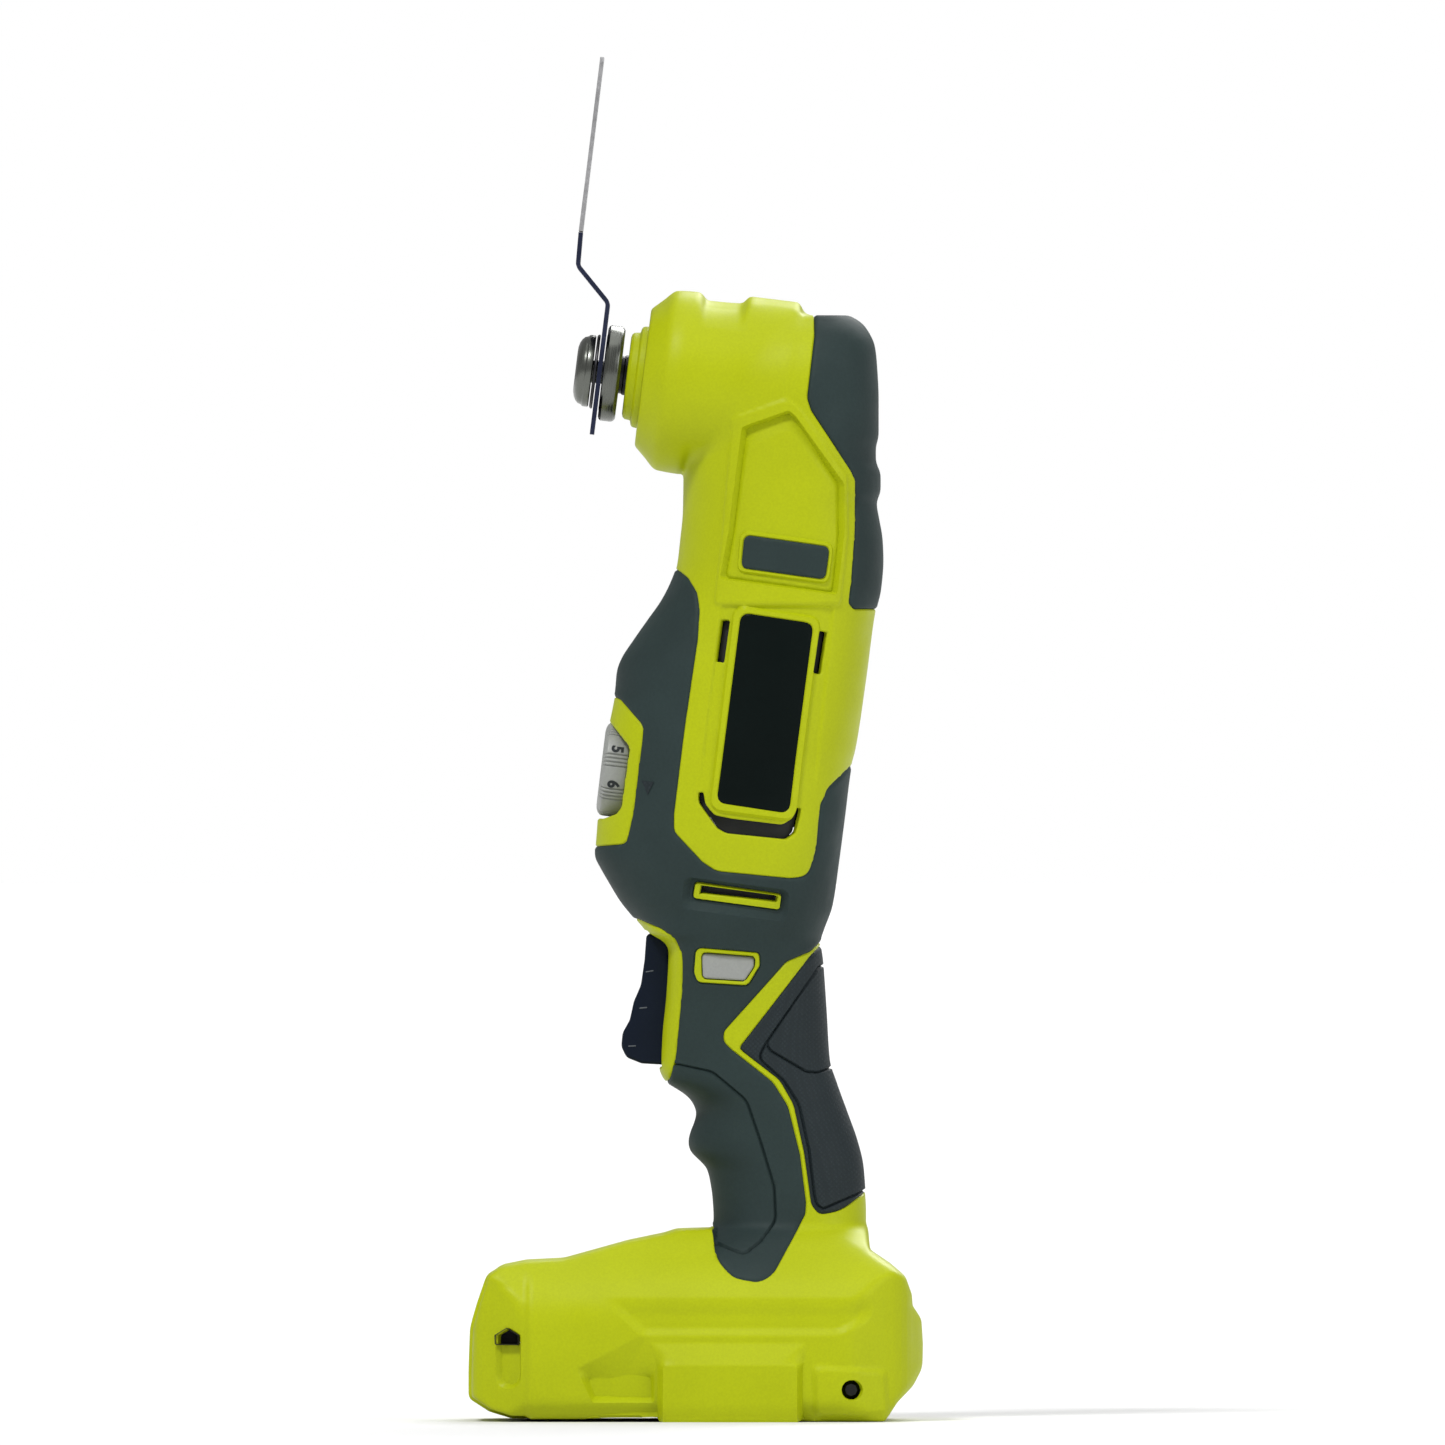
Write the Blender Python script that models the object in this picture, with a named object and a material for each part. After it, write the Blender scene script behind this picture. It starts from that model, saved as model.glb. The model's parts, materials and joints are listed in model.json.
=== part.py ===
"""A cordless oscillating multi tool, bare, standing on its battery foot.

The foot's rim rests on Z = 0 and the foot's length is centred on X = 0. The tool is symmetric about
the plane Y = 0. The blade side faces -X. The barrel leans back by TILT, and pieces in it are modelled
in the barrel's own frame: p points back along the spindle axis, y sideways and q up the motor axis,
with its origin where the two axes cross. Sizes are in millimetres until they reach a mesh.
"""

import math

import bmesh
import bpy
from mathutils import Matrix, Vector

MM = 0.001
GAP = 0.3  # clearance between pieces that touch

# Driving dimensions
TILT = math.radians(7.0)
AXES_X, AXES_Z = 26.7, 255.75  # where the motor axis crosses the spindle axis
SHELL_WALL = 2.6
GRIP_DEPTH = 1.4  # thickness of the soft overmould
SPLIT = 0.15  # half the gap at the parting plane
OUTSIDE = 70.0  # beyond the body on either side

SPINDLE_R = 5.0
HOLDER_R = 12.0
HOLDER_FRONT, HOLDER_BACK = -50.4, -46.0
BLADE_THICK = 1.1
BLADE_P = HOLDER_FRONT - 0.25 - BLADE_THICK / 2
WASHER_R, WASHER_THICK = 9.3, 0.8
BOLT_HEAD_R, BOLT_HEAD_H = 9.0, 4.2
BOLT_R = 2.9
COLLAR_R = 11.6

ECCENTRICITY = 0.7
ECCENTRIC_Q = (-26.5, -20.5)
SHAFT_R = 2.0
ECC_BEARING_R = 6.5
FORK_SLOT = 8.4  # half the gap between the fork's prongs
FORK_END = -27.2
MOTOR_R = 18.0
MOTOR_TOP, MOTOR_BOTTOM = -36.0, -88.0

DIAL_Q = -98.2
DIAL_R = 12.1
DIAL_FRONT, DIAL_BACK = -39.3, -32.2

LEAD_R = 0.9
TRIGGER_HALF = 8.0
TRIGGER_TRAVEL = 6.0
LOCK_TRAVEL = 2.0

# The body's side profile, as (height, x). Heights run from inside the foot to the bumper's top.
FRONT = [
    (25, 2), (45, 4.3), (51, 4.5), (56, 4.2), (60, 3.6), (63, 2.8), (65.2, 0.8), (67.5, -1.4),
    (69.5, -1.8), (72, -1.3), (74.5, -0.3), (76.8, 0.2), (79.2, -0.6), (81.2, -2.2), (83.2, -5.2),
    (85, -8), (88.7, -9.3), (96, -9), (106, -7.9), (117.5, -7.2), (120, -8.7), (121.75, -12.5),
    (122.5, -12.8), (125, -14.9), (126.8, -16.5), (130, -19), (135, -22), (138.5, -24), (141.2, -25.2),
    (147.5, -24.8), (162.5, -23.6), (171, -22.3), (182.5, -20.1), (187, -19.7), (190, -18.7),
    (195, -15.5), (200, -12), (205, -8.5), (210, -6), (213.5, -4.8), (220, -4), (227.5, -3.3),
    (250, -3), (262, -1), (270, 8), (274, 16), (276, 20),
]
BACK = [
    (25, 42.5), (52.5, 42.5), (57.5, 42.2), (63.7, 41.7), (70, 40.2), (76.2, 38), (84.5, 35),
    (90, 33.3), (102.5, 32.5), (115, 31.6), (119.8, 31), (122.5, 31.8), (128.7, 34), (138.7, 35.5),
    (150, 37), (163.7, 38.8), (167.5, 39.8), (185, 42.5), (202, 44.8), (207.5, 46.1), (215, 46.7),
    (220, 46.5), (226, 45.5), (229.2, 45), (232.5, 46), (236.2, 46), (240, 44.8), (243, 44.8),
    (246.2, 45.5), (255, 45.5), (265, 45), (268.7, 44.5), (272, 43), (274.5, 41), (276, 38.2),
]
WIDEST_X = [
    (25, 23), (50, 23.4), (60, 22.6), (70, 19.2), (80, 16.5), (90, 12.5), (100, 12.3), (110, 12),
    (118, 11.5), (125, 10.7), (140, 12.5), (165, 15.6), (200, 19.9), (225, 22.9), (256, 26.7),
    (276, 29.2),
]
HALF_WIDTH = [
    (25, 20), (45, 18.5), (52, 17.4), (63, 17), (76, 16.8), (90, 17.2), (100, 17.8), (110, 19),
    (118, 20.5), (124, 22.5), (130, 24.5), (138, 26), (150, 27), (165, 27), (182, 26.6),
    (200, 25.8), (220, 25), (240, 24.6), (255, 24), (262, 23), (268, 20.5), (272, 17.5),
    (274.5, 14), (276, 10),
]
FRONT_POWER = [(25, 2.4), (80, 2.3), (86, 3.6), (119, 3.6), (126, 2.3), (140, 2.1), (276, 2.1)]
BACK_POWER = 2.5
BODY_LEVELS = [
    25, 51, 57, 62, 65.5, 68.5, 74, 79, 83.2, 88, 106, 117.5, 120, 121.75, 125, 131, 141.2, 151, 171, 184,
    190, 200, 211, 224, 236, 241.5, 255, 265, 272, 276,
]
HOLLOW_LEVELS = [
    34, 57, 65.5, 68.5, 74, 79, 88, 106, 117.5, 125.2, 131, 141.2, 165, 190, 212, 236, 255, 267, 272,
]
BODY_SIDES, FOOT_SIDES, HOLLOW_SIDES = 20, 24, 14
# The foot, as (height, front x, back x, half width)
FOOT = [
    (0, -46, 47.5, 36.2), (1.2, -50, 50, 37.6), (5.5, -56.9, 54.6, 39), (15, -57.2, 57.1, 39),
    (24, -56.4, 56.6, 38.6), (29, -54.9, 54.8, 37.4), (34.5, -53, 52.8, 34), (38.3, -48, 48.2, 29.8),
    (40.2, -36, 44.8, 27), (42.3, -24.5, 43.2, 25), (45.3, -12, 42.6, 22.5), (49, 3, 42.4, 18),
]
FOOT_POWER = 4.2
# The gear head, turned about the spindle axis, as (p, radius)
HEAD = [
    (-40.3, 17.2), (-37.5, 19.8), (-34.2, 22.6), (-28.7, 22.9), (-26.4, 21.1), (-18, 21.4),
    (-16, 23.4), (-4.1, 23.4), (-1.7, 20.4), (6, 17),
]
BATTERY_BAY = (-42.8, 32.0, 32.8, 14.0)  # front x, back x, half width, depth
STEM_POCKET = (6.0, 31.4, 15.0, 42.0)
SCREWS = [(38.7, 8.0), (-46.6, 21.2), (36.0, 62.0), (27.0, 121.0), (-15.0, 138.0), (-8.0, 190.0)]
HEAD_SCREW = (2.0, 14.0)  # p and q
SCREW_R, SCREW_HEAD_R, BOSS_R = 1.4, 2.6, 3.6

# Outlines seen from the side, as (x, z, corner radius). They run past the body where it ends.
BODY_GRIP = [
    (-30, 213.5, 0), (-5.5, 213.2, 2), (-1, 208, 3), (0.9, 203, 3), (0.6, 198, 6), (-5.2, 152, 4),
    (-5.2, 147.5, 3), (0.8, 140, 4), (4, 137.5, 5), (21, 135.7, 3), (27.5, 136.2, 5),
    (29.8, 142, 4), (31.8, 156, 2), (34, 159, 2), (39, 164, 0), (60, 164, 0), (60, 119.5, 0),
    (31.3, 119.5, 0), (28.6, 116.9, 0), (22, 114.6, 4), (6.6, 97, 2.5), (6.4, 94.5, 1.5),
    (18, 85, 5), (24.5, 72, 8), (27.2, 55, 4), (27.2, 51.2, 2), (19.5, 36.8, 3), (15.5, 34.8, 3),
    (8, 36.2, 4), (4.6, 41, 4), (4.1, 48.9, 1), (-20, 49.6, 0), (-20, 84.4, 0), (-6.4, 84.4, 0), (-3.6, 115, 3),
    (-4.9, 120.2, 2), (-8.6, 123.2, 2), (-14.5, 125.2, 0), (-40, 125.2, 0), (-40, 142.2, 0), (-17.6, 143.8, 1.5),
    (-12.8, 173.5, 3), (-20.6, 181.4, 0), (-30, 181.4, 0),
]
REAR_GRIP = [
    (60, 119.1, 0), (31.5, 119.1, 0), (28.9, 116.6, 0), (27.2, 114.3, 1), (10.2, 92.8, 1), (20.8, 84.8, 5),
    (26, 73, 8), (28.6, 54, 3), (30.8, 51.6, 2), (36, 52.6, 4), (42.5, 57, 0), (60, 57, 0),
]
HEAD_BUMPER = [
    (60, 290, 0), (29.2, 290, 0), (29.5, 270, 6), (27.6, 254.5, 2), (30.5, 249.6, 4),
    (38.8, 237, 3), (39.7, 234, 2), (39.2, 213, 10), (38.2, 204, 1), (39, 202.6, 1), (60, 202.6, 0),
]
DIAL_WINDOW = [
    (-40, 175.2, 0), (-22, 175.2, 0), (-16.8, 169.4, 1.5), (-19, 151.6, 1.5), (-23.4, 150.2, 0),
    (-40, 150.2, 0),
]
LOCK_BUTTON = [
    (1.2, 116.8, 1), (14.3, 115.8, 1), (14.3, 113, 1), (12, 109.8, 1), (1.7, 110.6, 1),
]
TRIGGER = [
    (-12.4, 121.6, 1), (-12.9, 117.5, 4), (-13.5, 111, 6), (-16.5, 100, 8), (-18.8, 94, 3),
    (-18.2, 90.4, 2.5), (-15.5, 89.2, 2), (-9.8, 88.9, 0), (-6.5, 88.9, 0), (-6.5, 118.6, 1),
    (-9.4, 120.4, 2),
]
TRIGGER_SLOT = [(-30, 122.15, 0), (0.6, 122.15, 0), (0.6, 88.3, 0), (-30, 88.3, 0)]
# Outlines in the barrel's frame, as (p, q, corner radius)
SIDE_PAD = [(-10.2, -36.6, 1.2), (11.1, -36.6, 1.2), (11.1, -44.4, 1.2), (-10.2, -44.4, 1.2)]
LABEL = [(-9, -55.6, 1.8), (9, -55.6, 1.8), (9, -103.6, 1.8), (-9, -103.6, 1.8)]
LOWER_VENT = [(-11, -125.2, 0.6), (9, -125.2, 0.6), (9, -127.6, 0.6), (-11, -127.6, 0.6)]
SIDE_VENT = [(-1.1, 5.7, 0.3), (1.1, 5.7, 0.3), (1.1, -5.7, 0.3), (-1.1, -5.7, 0.3)]
SIDE_VENT_AT = ((-12.5, -62.4), (12.5, -62.4))
CURVED_VENT = [
    (-14.4, -99.5, 0.5), (-13, -99.5, 0.5), (-12.4, -103, 2), (-9.5, -106, 3), (8.5, -106, 3),
    (10.8, -103, 2), (11.6, -99.5, 0.5), (13, -99.5, 0.5), (12.6, -106, 3), (10.5, -110.2, 2),
    (-6, -110.2, 3), (-13.5, -104.8, 3),
]

BARREL = Matrix.Translation((AXES_X * MM, 0, AXES_Z * MM)) @ Matrix.Rotation(TILT, 4, "Y")
UPRIGHT_TO_P = Matrix.Rotation(math.pi / 2, 4, "Y")  # turns a piece modelled along Z to lie along +p
TWIST = Matrix.Rotation(math.radians(4.3), 4, "Z")  # keeps a round cutter's corners off other corners


# ---------------------------------------------------------------- materials


def material(name, colour, roughness, metallic=0.0):
    made = bpy.data.materials.new(name)
    made.use_nodes = True
    shader = made.node_tree.nodes["Principled BSDF"]
    shader.inputs["Base Color"].default_value = (*colour, 1)
    shader.inputs["Roughness"].default_value = roughness
    shader.inputs["Metallic"].default_value = metallic
    return made


def make_materials():
    return {
        "lime": material("lime_plastic", (0.50, 0.56, 0.01), 0.42),
        "grip": material("soft_grip", (0.036, 0.05, 0.05), 0.75),
        "black": material("black_plastic", (0.01, 0.012, 0.018), 0.5),
        "label": material("label_film", (0.008, 0.014, 0.014), 0.35),
        "grey": material("light_grey_plastic", (0.42, 0.43, 0.43), 0.45),
        "steel": material("spindle_steel", (0.42, 0.42, 0.38), 0.3, 1.0),
        "dark_steel": material("dark_steel", (0.06, 0.065, 0.07), 0.45, 1.0),
        "blade": material("blade_steel", (0.55, 0.55, 0.55), 0.32, 1.0),
        "aluminium": material("cast_aluminium", (0.5, 0.5, 0.5), 0.5, 1.0),
        "copper": material("copper", (0.7, 0.28, 0.12), 0.35, 1.0),
        "board": material("circuit_board", (0.02, 0.16, 0.06), 0.5),
        "red": material("red_insulation", (0.5, 0.02, 0.02), 0.5),
        "white": material("white_nylon", (0.6, 0.6, 0.56), 0.55),
    }


# ---------------------------------------------------------------- mesh helpers


def smooth_at(table, level):
    """The table's second column at this level, on a curve that never overshoots its rows."""
    if level <= table[0][0]:
        return table[0][1]
    if level >= table[-1][0]:
        return table[-1][1]
    i = next(k for k in range(len(table) - 1) if level <= table[k + 1][0])

    def rise(k):
        (z0, x0), (z1, x1) = table[k], table[k + 1]
        return (x1 - x0) / (z1 - z0)

    def slope(k):
        if k in (0, len(table) - 1):
            return rise(0 if k == 0 else k - 1)
        before, after = rise(k - 1), rise(k)
        return 0.0 if before * after <= 0 else 2 * before * after / (before + after)

    (z0, x0), (z1, x1) = table[i], table[i + 1]
    step = z1 - z0
    t = (level - z0) / step
    return (
        (2 * t**3 - 3 * t**2 + 1) * x0
        + (t**3 - 2 * t**2 + t) * step * slope(i)
        + (3 * t**2 - 2 * t**3) * x1
        + (t**3 - t**2) * step * slope(i + 1)
    )


def ring(level, front, widest, back, half, front_power, back_power, count):
    """A level closed curve of count points with its own roundness in front of and behind its widest x."""
    points = []
    for k in range(count):
        angle = 2 * math.pi * (k + 0.5) / count
        along, across = -math.cos(angle), math.sin(angle)
        power = front_power if along < 0 else back_power
        reach = (widest - front) if along < 0 else (back - widest)
        x = widest + math.copysign(abs(along) ** (2 / power), along) * reach
        y = math.copysign(abs(across) ** (2 / power), across) * half
        points.append(Vector((x, y, level)) * MM)
    return points


def body_ring(level, inset, count):
    return ring(
        level,
        smooth_at(FRONT, level) + inset,
        smooth_at(WIDEST_X, level),
        smooth_at(BACK, level) - inset,
        smooth_at(HALF_WIDTH, level) - inset,
        smooth_at(FRONT_POWER, level),
        BACK_POWER,
        count,
    )


def foot_ring(row, inset, count):
    level, front, back, half = row
    front, back, half = front + inset, back - inset, half - inset
    return ring(level, front, (front + back) / 2, back, half, FOOT_POWER, FOOT_POWER, count)


def place(name, bm, material_made=None, matrix=None):
    """A mesh object from bm, linked to the scene."""
    bmesh.ops.recalc_face_normals(bm, faces=bm.faces)
    mesh = bpy.data.meshes.new(name)
    bm.to_mesh(mesh)
    bm.free()
    made = bpy.data.objects.new(name, mesh)
    bpy.context.scene.collection.objects.link(made)
    if material_made:
        mesh.materials.append(material_made)
    if matrix:
        made.matrix_world = matrix
    return made


def loft(name, rings, material_made=None):
    """A closed solid through rings of equal count."""
    bm = bmesh.new()
    rows = [[bm.verts.new(point) for point in points] for points in rings]
    for lower, upper in zip(rows, rows[1:]):
        for k in range(len(lower)):
            after = (k + 1) % len(lower)
            bm.faces.new((lower[k], lower[after], upper[after], upper[k]))
    bm.faces.new(rows[0])
    bm.faces.new(rows[-1])
    return place(name, bm, material_made)


def rounded(outline, per_corner=2):
    """An outline's points, with each corner that has a radius turned into an arc."""
    points = []
    count = len(outline)
    for k, (x, z, radius) in enumerate(outline):
        here = Vector((x, z))
        before = Vector(outline[k - 1][:2]) - here
        after = Vector(outline[(k + 1) % count][:2]) - here
        half_angle = before.angle(after) / 2
        reach = min(before.length, after.length) * 0.45
        if radius <= 0 or half_angle > 1.5:
            points.append(here)
            continue
        back_off = min(radius / math.tan(half_angle), reach)
        radius = back_off * math.tan(half_angle)
        inward = (before.normalized() + after.normalized()).normalized()
        centre = here + inward * (radius / math.sin(half_angle))
        start = here + before.normalized() * back_off - centre
        turn = start.angle_signed(here + after.normalized() * back_off - centre)
        for step in range(per_corner + 1):
            share = -turn * step / per_corner
            cos, sin = math.cos(share), math.sin(share)
            points.append(centre + Vector((start.x * cos - start.y * sin, start.x * sin + start.y * cos)))
    return points


def grown(points, margin):
    """The outline moved outwards by margin, corner by corner."""
    count = len(points)
    area = sum(points[k - 1].cross(points[k]) for k in range(count))
    turn = math.copysign(1.0, area)
    moved = []
    for k, here in enumerate(points):
        first = (here - points[k - 1]).normalized()
        second = (points[(k + 1) % count] - here).normalized()
        normals = [Vector((d.y, -d.x)) * turn for d in (first, second)]
        mitre = (normals[0] + normals[1]).normalized()
        moved.append(here + mitre * (margin / max(0.5, mitre.dot(normals[0]))))
    return moved


def prism(name, points, low, high, material_made=None, matrix=None):
    """A solid with this outline in XZ, from y low to y high."""
    bm = bmesh.new()
    face = bm.faces.new([bm.verts.new(Vector((p.x, low, p.y)) * MM) for p in points])
    swept = bmesh.ops.extrude_face_region(bm, geom=[face])
    moved = [v for v in swept["geom"] if isinstance(v, bmesh.types.BMVert)]
    bmesh.ops.translate(bm, verts=moved, vec=(0, (high - low) * MM, 0))
    return place(name, bm, material_made, matrix)


def box(name, low, high, material_made=None, matrix=None):
    """A block between two corners."""
    bm = bmesh.new()
    bmesh.ops.create_cube(bm, size=1)
    size = Vector(high) - Vector(low)
    centre = (Vector(high) + Vector(low)) / 2
    bmesh.ops.scale(bm, verts=bm.verts, vec=size * MM)
    bmesh.ops.translate(bm, verts=bm.verts, vec=centre * MM)
    return place(name, bm, material_made, matrix)


def turned(name, profile, steps, material_made=None, matrix=None):
    """A closed profile of (radius, height) spun about Z. Points at radius 0 lie on the axis."""
    bm = bmesh.new()
    verts = [bm.verts.new(Vector((r, 0, z)) * MM) for r, z in profile]
    edges = [bm.edges.new((verts[k - 1], verts[k])) for k in range(len(verts))]
    bmesh.ops.spin(
        bm, geom=verts + edges, axis=(0, 0, 1), cent=(0, 0, 0), steps=steps, angle=2 * math.pi,
        use_merge=True, use_duplicate=False,
    )
    bmesh.ops.remove_doubles(bm, verts=bm.verts, dist=1e-7)
    bmesh.ops.dissolve_degenerate(bm, dist=1e-8, edges=bm.edges)
    lone = [e for e in bm.edges if not e.link_faces]
    bmesh.ops.delete(bm, geom=lone, context="EDGES")
    return place(name, bm, material_made, matrix)


def tube(inner, outer, low, high):
    """The profile of a plain ring."""
    return [(inner, low), (outer, low), (outer, high), (inner, high)]


def rod(outer, low, high):
    """The profile of a plain solid cylinder."""
    return [(0, low), (outer, low), (outer, high), (0, high)]


def combine(target, operation, *others):
    """Applies one Boolean for each of the others, which are used up."""
    for other in others:
        modifier = target.modifiers.new("cut", "BOOLEAN")
        modifier.operation = operation
        modifier.solver = "EXACT"
        modifier.object = other
        bpy.context.view_layer.update()
        graph = bpy.context.evaluated_depsgraph_get()
        mesh = bpy.data.meshes.new_from_object(target.evaluated_get(graph))
        target.modifiers.remove(modifier)
        old, target.data = target.data, mesh
        mesh.name = target.name
        bpy.data.meshes.remove(old)
        bpy.data.objects.remove(other)
    return target


def copy_of(source, name):
    made = source.copy()
    made.data = source.data.copy()
    made.name = name
    bpy.context.scene.collection.objects.link(made)
    return made


def one_side(source, name, side):
    """The part of source on one side of the parting plane: side is -1 or 1."""
    made = copy_of(source, name)
    low, high = (-OUTSIDE, -SPLIT) if side < 0 else (SPLIT, OUTSIDE)
    return combine(made, "INTERSECT", box("half", (-90, low, -20), (90, high, 320)))


def moved_origin(made, point):
    """Puts the object's origin at a point in millimetres and leaves its shape where it is."""
    made.data.transform(Matrix.Translation(-point * MM))
    made.location = point * MM
    return made


def soften(made, angle=35):
    made.data.shade_smooth()
    made.data.set_sharp_from_angle(angle=math.radians(angle))
    return made


def along_y(x, z):
    """A matrix that lays a piece modelled along Z on the line y at (x, z)."""
    return Matrix.Translation((x * MM, 0, z * MM)) @ Matrix.Rotation(-math.pi / 2, 4, "X")


def dial_frame():
    """Lays a piece modelled along Z on the dial's axis, with Z reading as p."""
    return BARREL @ Matrix.Translation((0, 0, DIAL_Q * MM)) @ UPRIGHT_TO_P


def in_barrel(p, q):
    """World x and z of a point in the barrel's frame."""
    point = BARREL @ Vector((p * MM, 0, q * MM)) / MM
    return point.x, point.z


# ---------------------------------------------------------------- housing


def body_solid(name, inset, count, levels):
    """Barrel, handle, head and foot as one solid, with its surface moved in by inset."""
    body = loft(name, [body_ring(level, inset, count) for level in levels])
    head = [(max(0.5, r - inset), p) for p, r in HEAD]
    head[0] = (head[0][0], head[0][1] + inset)
    profile = [(0, head[0][1]), *head, (0, head[-1][1])]
    spun = turned("head", profile, count, matrix=BARREL @ UPRIGHT_TO_P)
    return combine(body, "UNION", spun)


def foot_solid(name, inset, count):
    rows = [row for row in FOOT if inset == 0 or row[0] > 2]
    rings = [foot_ring(row, inset, count) for row in rows]
    if inset:
        for points in rings[1:]:
            for point in points:
                point.z -= inset * MM
    return loft(name, rings)


def screw_places():
    return [*SCREWS, in_barrel(*HEAD_SCREW)]


def hollow_inside():
    """The free space inside the closed housing, with bosses and the battery well left standing."""
    hollow = body_solid("hollow", SHELL_WALL, HOLLOW_SIDES, HOLLOW_LEVELS)
    combine(hollow, "UNION", foot_solid("foot_hollow", SHELL_WALL, HOLLOW_SIDES + 4))
    front, back, half, top = STEM_POCKET
    wall = 2.4
    well = box("well", (front - wall, -half - wall, -5), (back + wall, half + wall, top + wall))
    floor = box("floor", (-70, -60, -5), (BATTERY_BAY[1] + wall, 60, BATTERY_BAY[3] + wall))
    combine(hollow, "DIFFERENCE", well, floor)
    for x, z in screw_places():
        boss = turned("boss", rod(BOSS_R, -OUTSIDE, OUTSIDE), 9, matrix=along_y(x, z) @ TWIST)
        combine(hollow, "DIFFERENCE", boss)
    return hollow


def window(outline, low, high, margin=0.0, matrix=None):
    points = rounded(outline)
    if margin:
        points = grown(points, margin)
    return prism("window", points, low, high, matrix=matrix)


def inside(outline, x, z):
    """Whether (x, z) lies within the outline."""
    crossings = 0
    for k, (x1, z1, _) in enumerate(outline):
        x0, z0, _ = outline[k - 1]
        if (z0 > z) != (z1 > z) and x < x0 + (z - z0) / (z1 - z0) * (x1 - x0):
            crossings += 1
    return crossings % 2 == 1


def shifted(outline, along, up):
    return [(x + along, z + up, radius) for x, z, radius in outline]


def housing_halves(outer, lime):
    """Both clamshell halves, with pockets for the grips and openings for what shows through."""
    body = copy_of(outer, "housing")
    combine(body, "DIFFERENCE", hollow_inside())
    front, back, half, top = BATTERY_BAY
    bay = loft("bay", [ring(z, front, 0, -front, half, FOOT_POWER, FOOT_POWER, FOOT_SIDES) for z in (-5, top)])
    combine(bay, "DIFFERENCE", box("bay_end", (back, -60, -9), (90, 60, 60)))
    combine(body, "DIFFERENCE", bay)
    front, back, half, top = STEM_POCKET
    combine(body, "DIFFERENCE", box("stem", (front, -half, -5), (back, half, top)))
    combine(
        body, "DIFFERENCE",
        box("terminal_hole", (9.8, -8, top - 5), (25.4, 8, top + 4)),
        turned("spindle_hole", rod(9.6, -60, -25), 20, matrix=BARREL @ UPRIGHT_TO_P @ TWIST),
        turned("dial_well", rod(DIAL_R + 0.45, -48, DIAL_BACK + 0.6), 24, matrix=dial_frame() @ TWIST),
        window(DIAL_WINDOW, -OUTSIDE, OUTSIDE),
        window(LOCK_BUTTON, -OUTSIDE, OUTSIDE, GAP + 0.1),
        window(LOWER_VENT, -OUTSIDE, OUTSIDE, matrix=BARREL),
        window(CURVED_VENT, -OUTSIDE, OUTSIDE, matrix=BARREL),
    )
    for p, q in SIDE_VENT_AT:
        combine(body, "DIFFERENCE", window(shifted(SIDE_VENT, p, q), -OUTSIDE, OUTSIDE, matrix=BARREL))
    core = body_solid("core", GRIP_DEPTH + GAP, BODY_SIDES, [*BODY_LEVELS[:-1], 274.3])
    combine(core, "UNION", foot_solid("core_foot", GRIP_DEPTH + GAP, FOOT_SIDES))
    pocket = window(BODY_GRIP, -OUTSIDE, OUTSIDE, GAP)
    combine(pocket, "UNION", window(REAR_GRIP, 1 - OUTSIDE, OUTSIDE - 1, GAP))
    combine(pocket, "UNION", window(HEAD_BUMPER, 2 - OUTSIDE, OUTSIDE - 2, GAP))
    combine(pocket, "DIFFERENCE", core)
    combine(body, "DIFFERENCE", pocket)
    combine(body, "DIFFERENCE", window(TRIGGER_SLOT, -TRIGGER_HALF - 0.6, TRIGGER_HALF + 0.6))
    halves = []
    for side, word in ((-1, "left"), (1, "right")):
        made = one_side(body, f"housing_{word}", side)
        made.data.materials.clear()
        made.data.materials.append(lime)
        for outline, deep in ((SIDE_PAD, 0.9), (LABEL, 0.6)):
            cut = pocket_on_side(outer, outline, side, deep, GAP)
            combine(made, "DIFFERENCE", cut)
        halves.append(made)
    bpy.data.objects.remove(body)
    x, z = SCREWS[1]
    nut = turned("nut_well", rod(2.7, -OUTSIDE, -side_reach(outer, x, z) + 5), 6, matrix=along_y(x, z))
    combine(halves[0], "DIFFERENCE", nut)
    for made, side in zip(halves, (-1, 1)):
        drill_for_screws(made, side)
        soften(made)
    return halves


def pocket_on_side(outer, outline, side, deep, margin):
    """A shallow flat-bottomed pocket of this outline, sunk deep below the side surface at its centre."""
    middle = sum(p for p, _, _ in outline) / len(outline), sum(q for _, q, _ in outline) / len(outline)
    level = side_reach(outer, *in_barrel(*middle)) - deep
    low, high = (-OUTSIDE, -level) if side < 0 else (level, OUTSIDE)
    return window(outline, low, high, margin, matrix=BARREL)


def side_reach(outer, x, z):
    """How far the body's side stands from the parting plane at (x, z)."""
    hit, point, _, _ = outer.ray_cast(Vector((x, OUTSIDE, z)) * MM, Vector((0, -1, 0)))
    return point.y / MM if hit else 0.0


def screw_seat(outer, index, x, z):
    """Where a screw's head sits, and from which side it is driven: the foot's rear one from the left."""
    side = -1 if index == 0 else 1
    return side, side_reach(outer, x, z) - 7.0


def drill_for_screws(made, side):
    outer = bpy.data.objects["outer"]
    for index, (x, z) in enumerate(screw_places()):
        driven_from, seat = screw_seat(outer, index, x, z)
        hole = SCREW_R + GAP
        if side == driven_from:
            profile = [(0, -1), (hole, -1), (hole, seat), (SCREW_HEAD_R + GAP, seat),
                       (SCREW_HEAD_R + GAP, OUTSIDE), (0, OUTSIDE)]
        else:
            profile = rod(hole, -1, 9)
        cutter = turned("drill", profile, 8, matrix=along_y(x, z) @ Matrix.Rotation(0 if side > 0 else math.pi, 4, "X"))
        combine(made, "DIFFERENCE", cutter)


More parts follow.
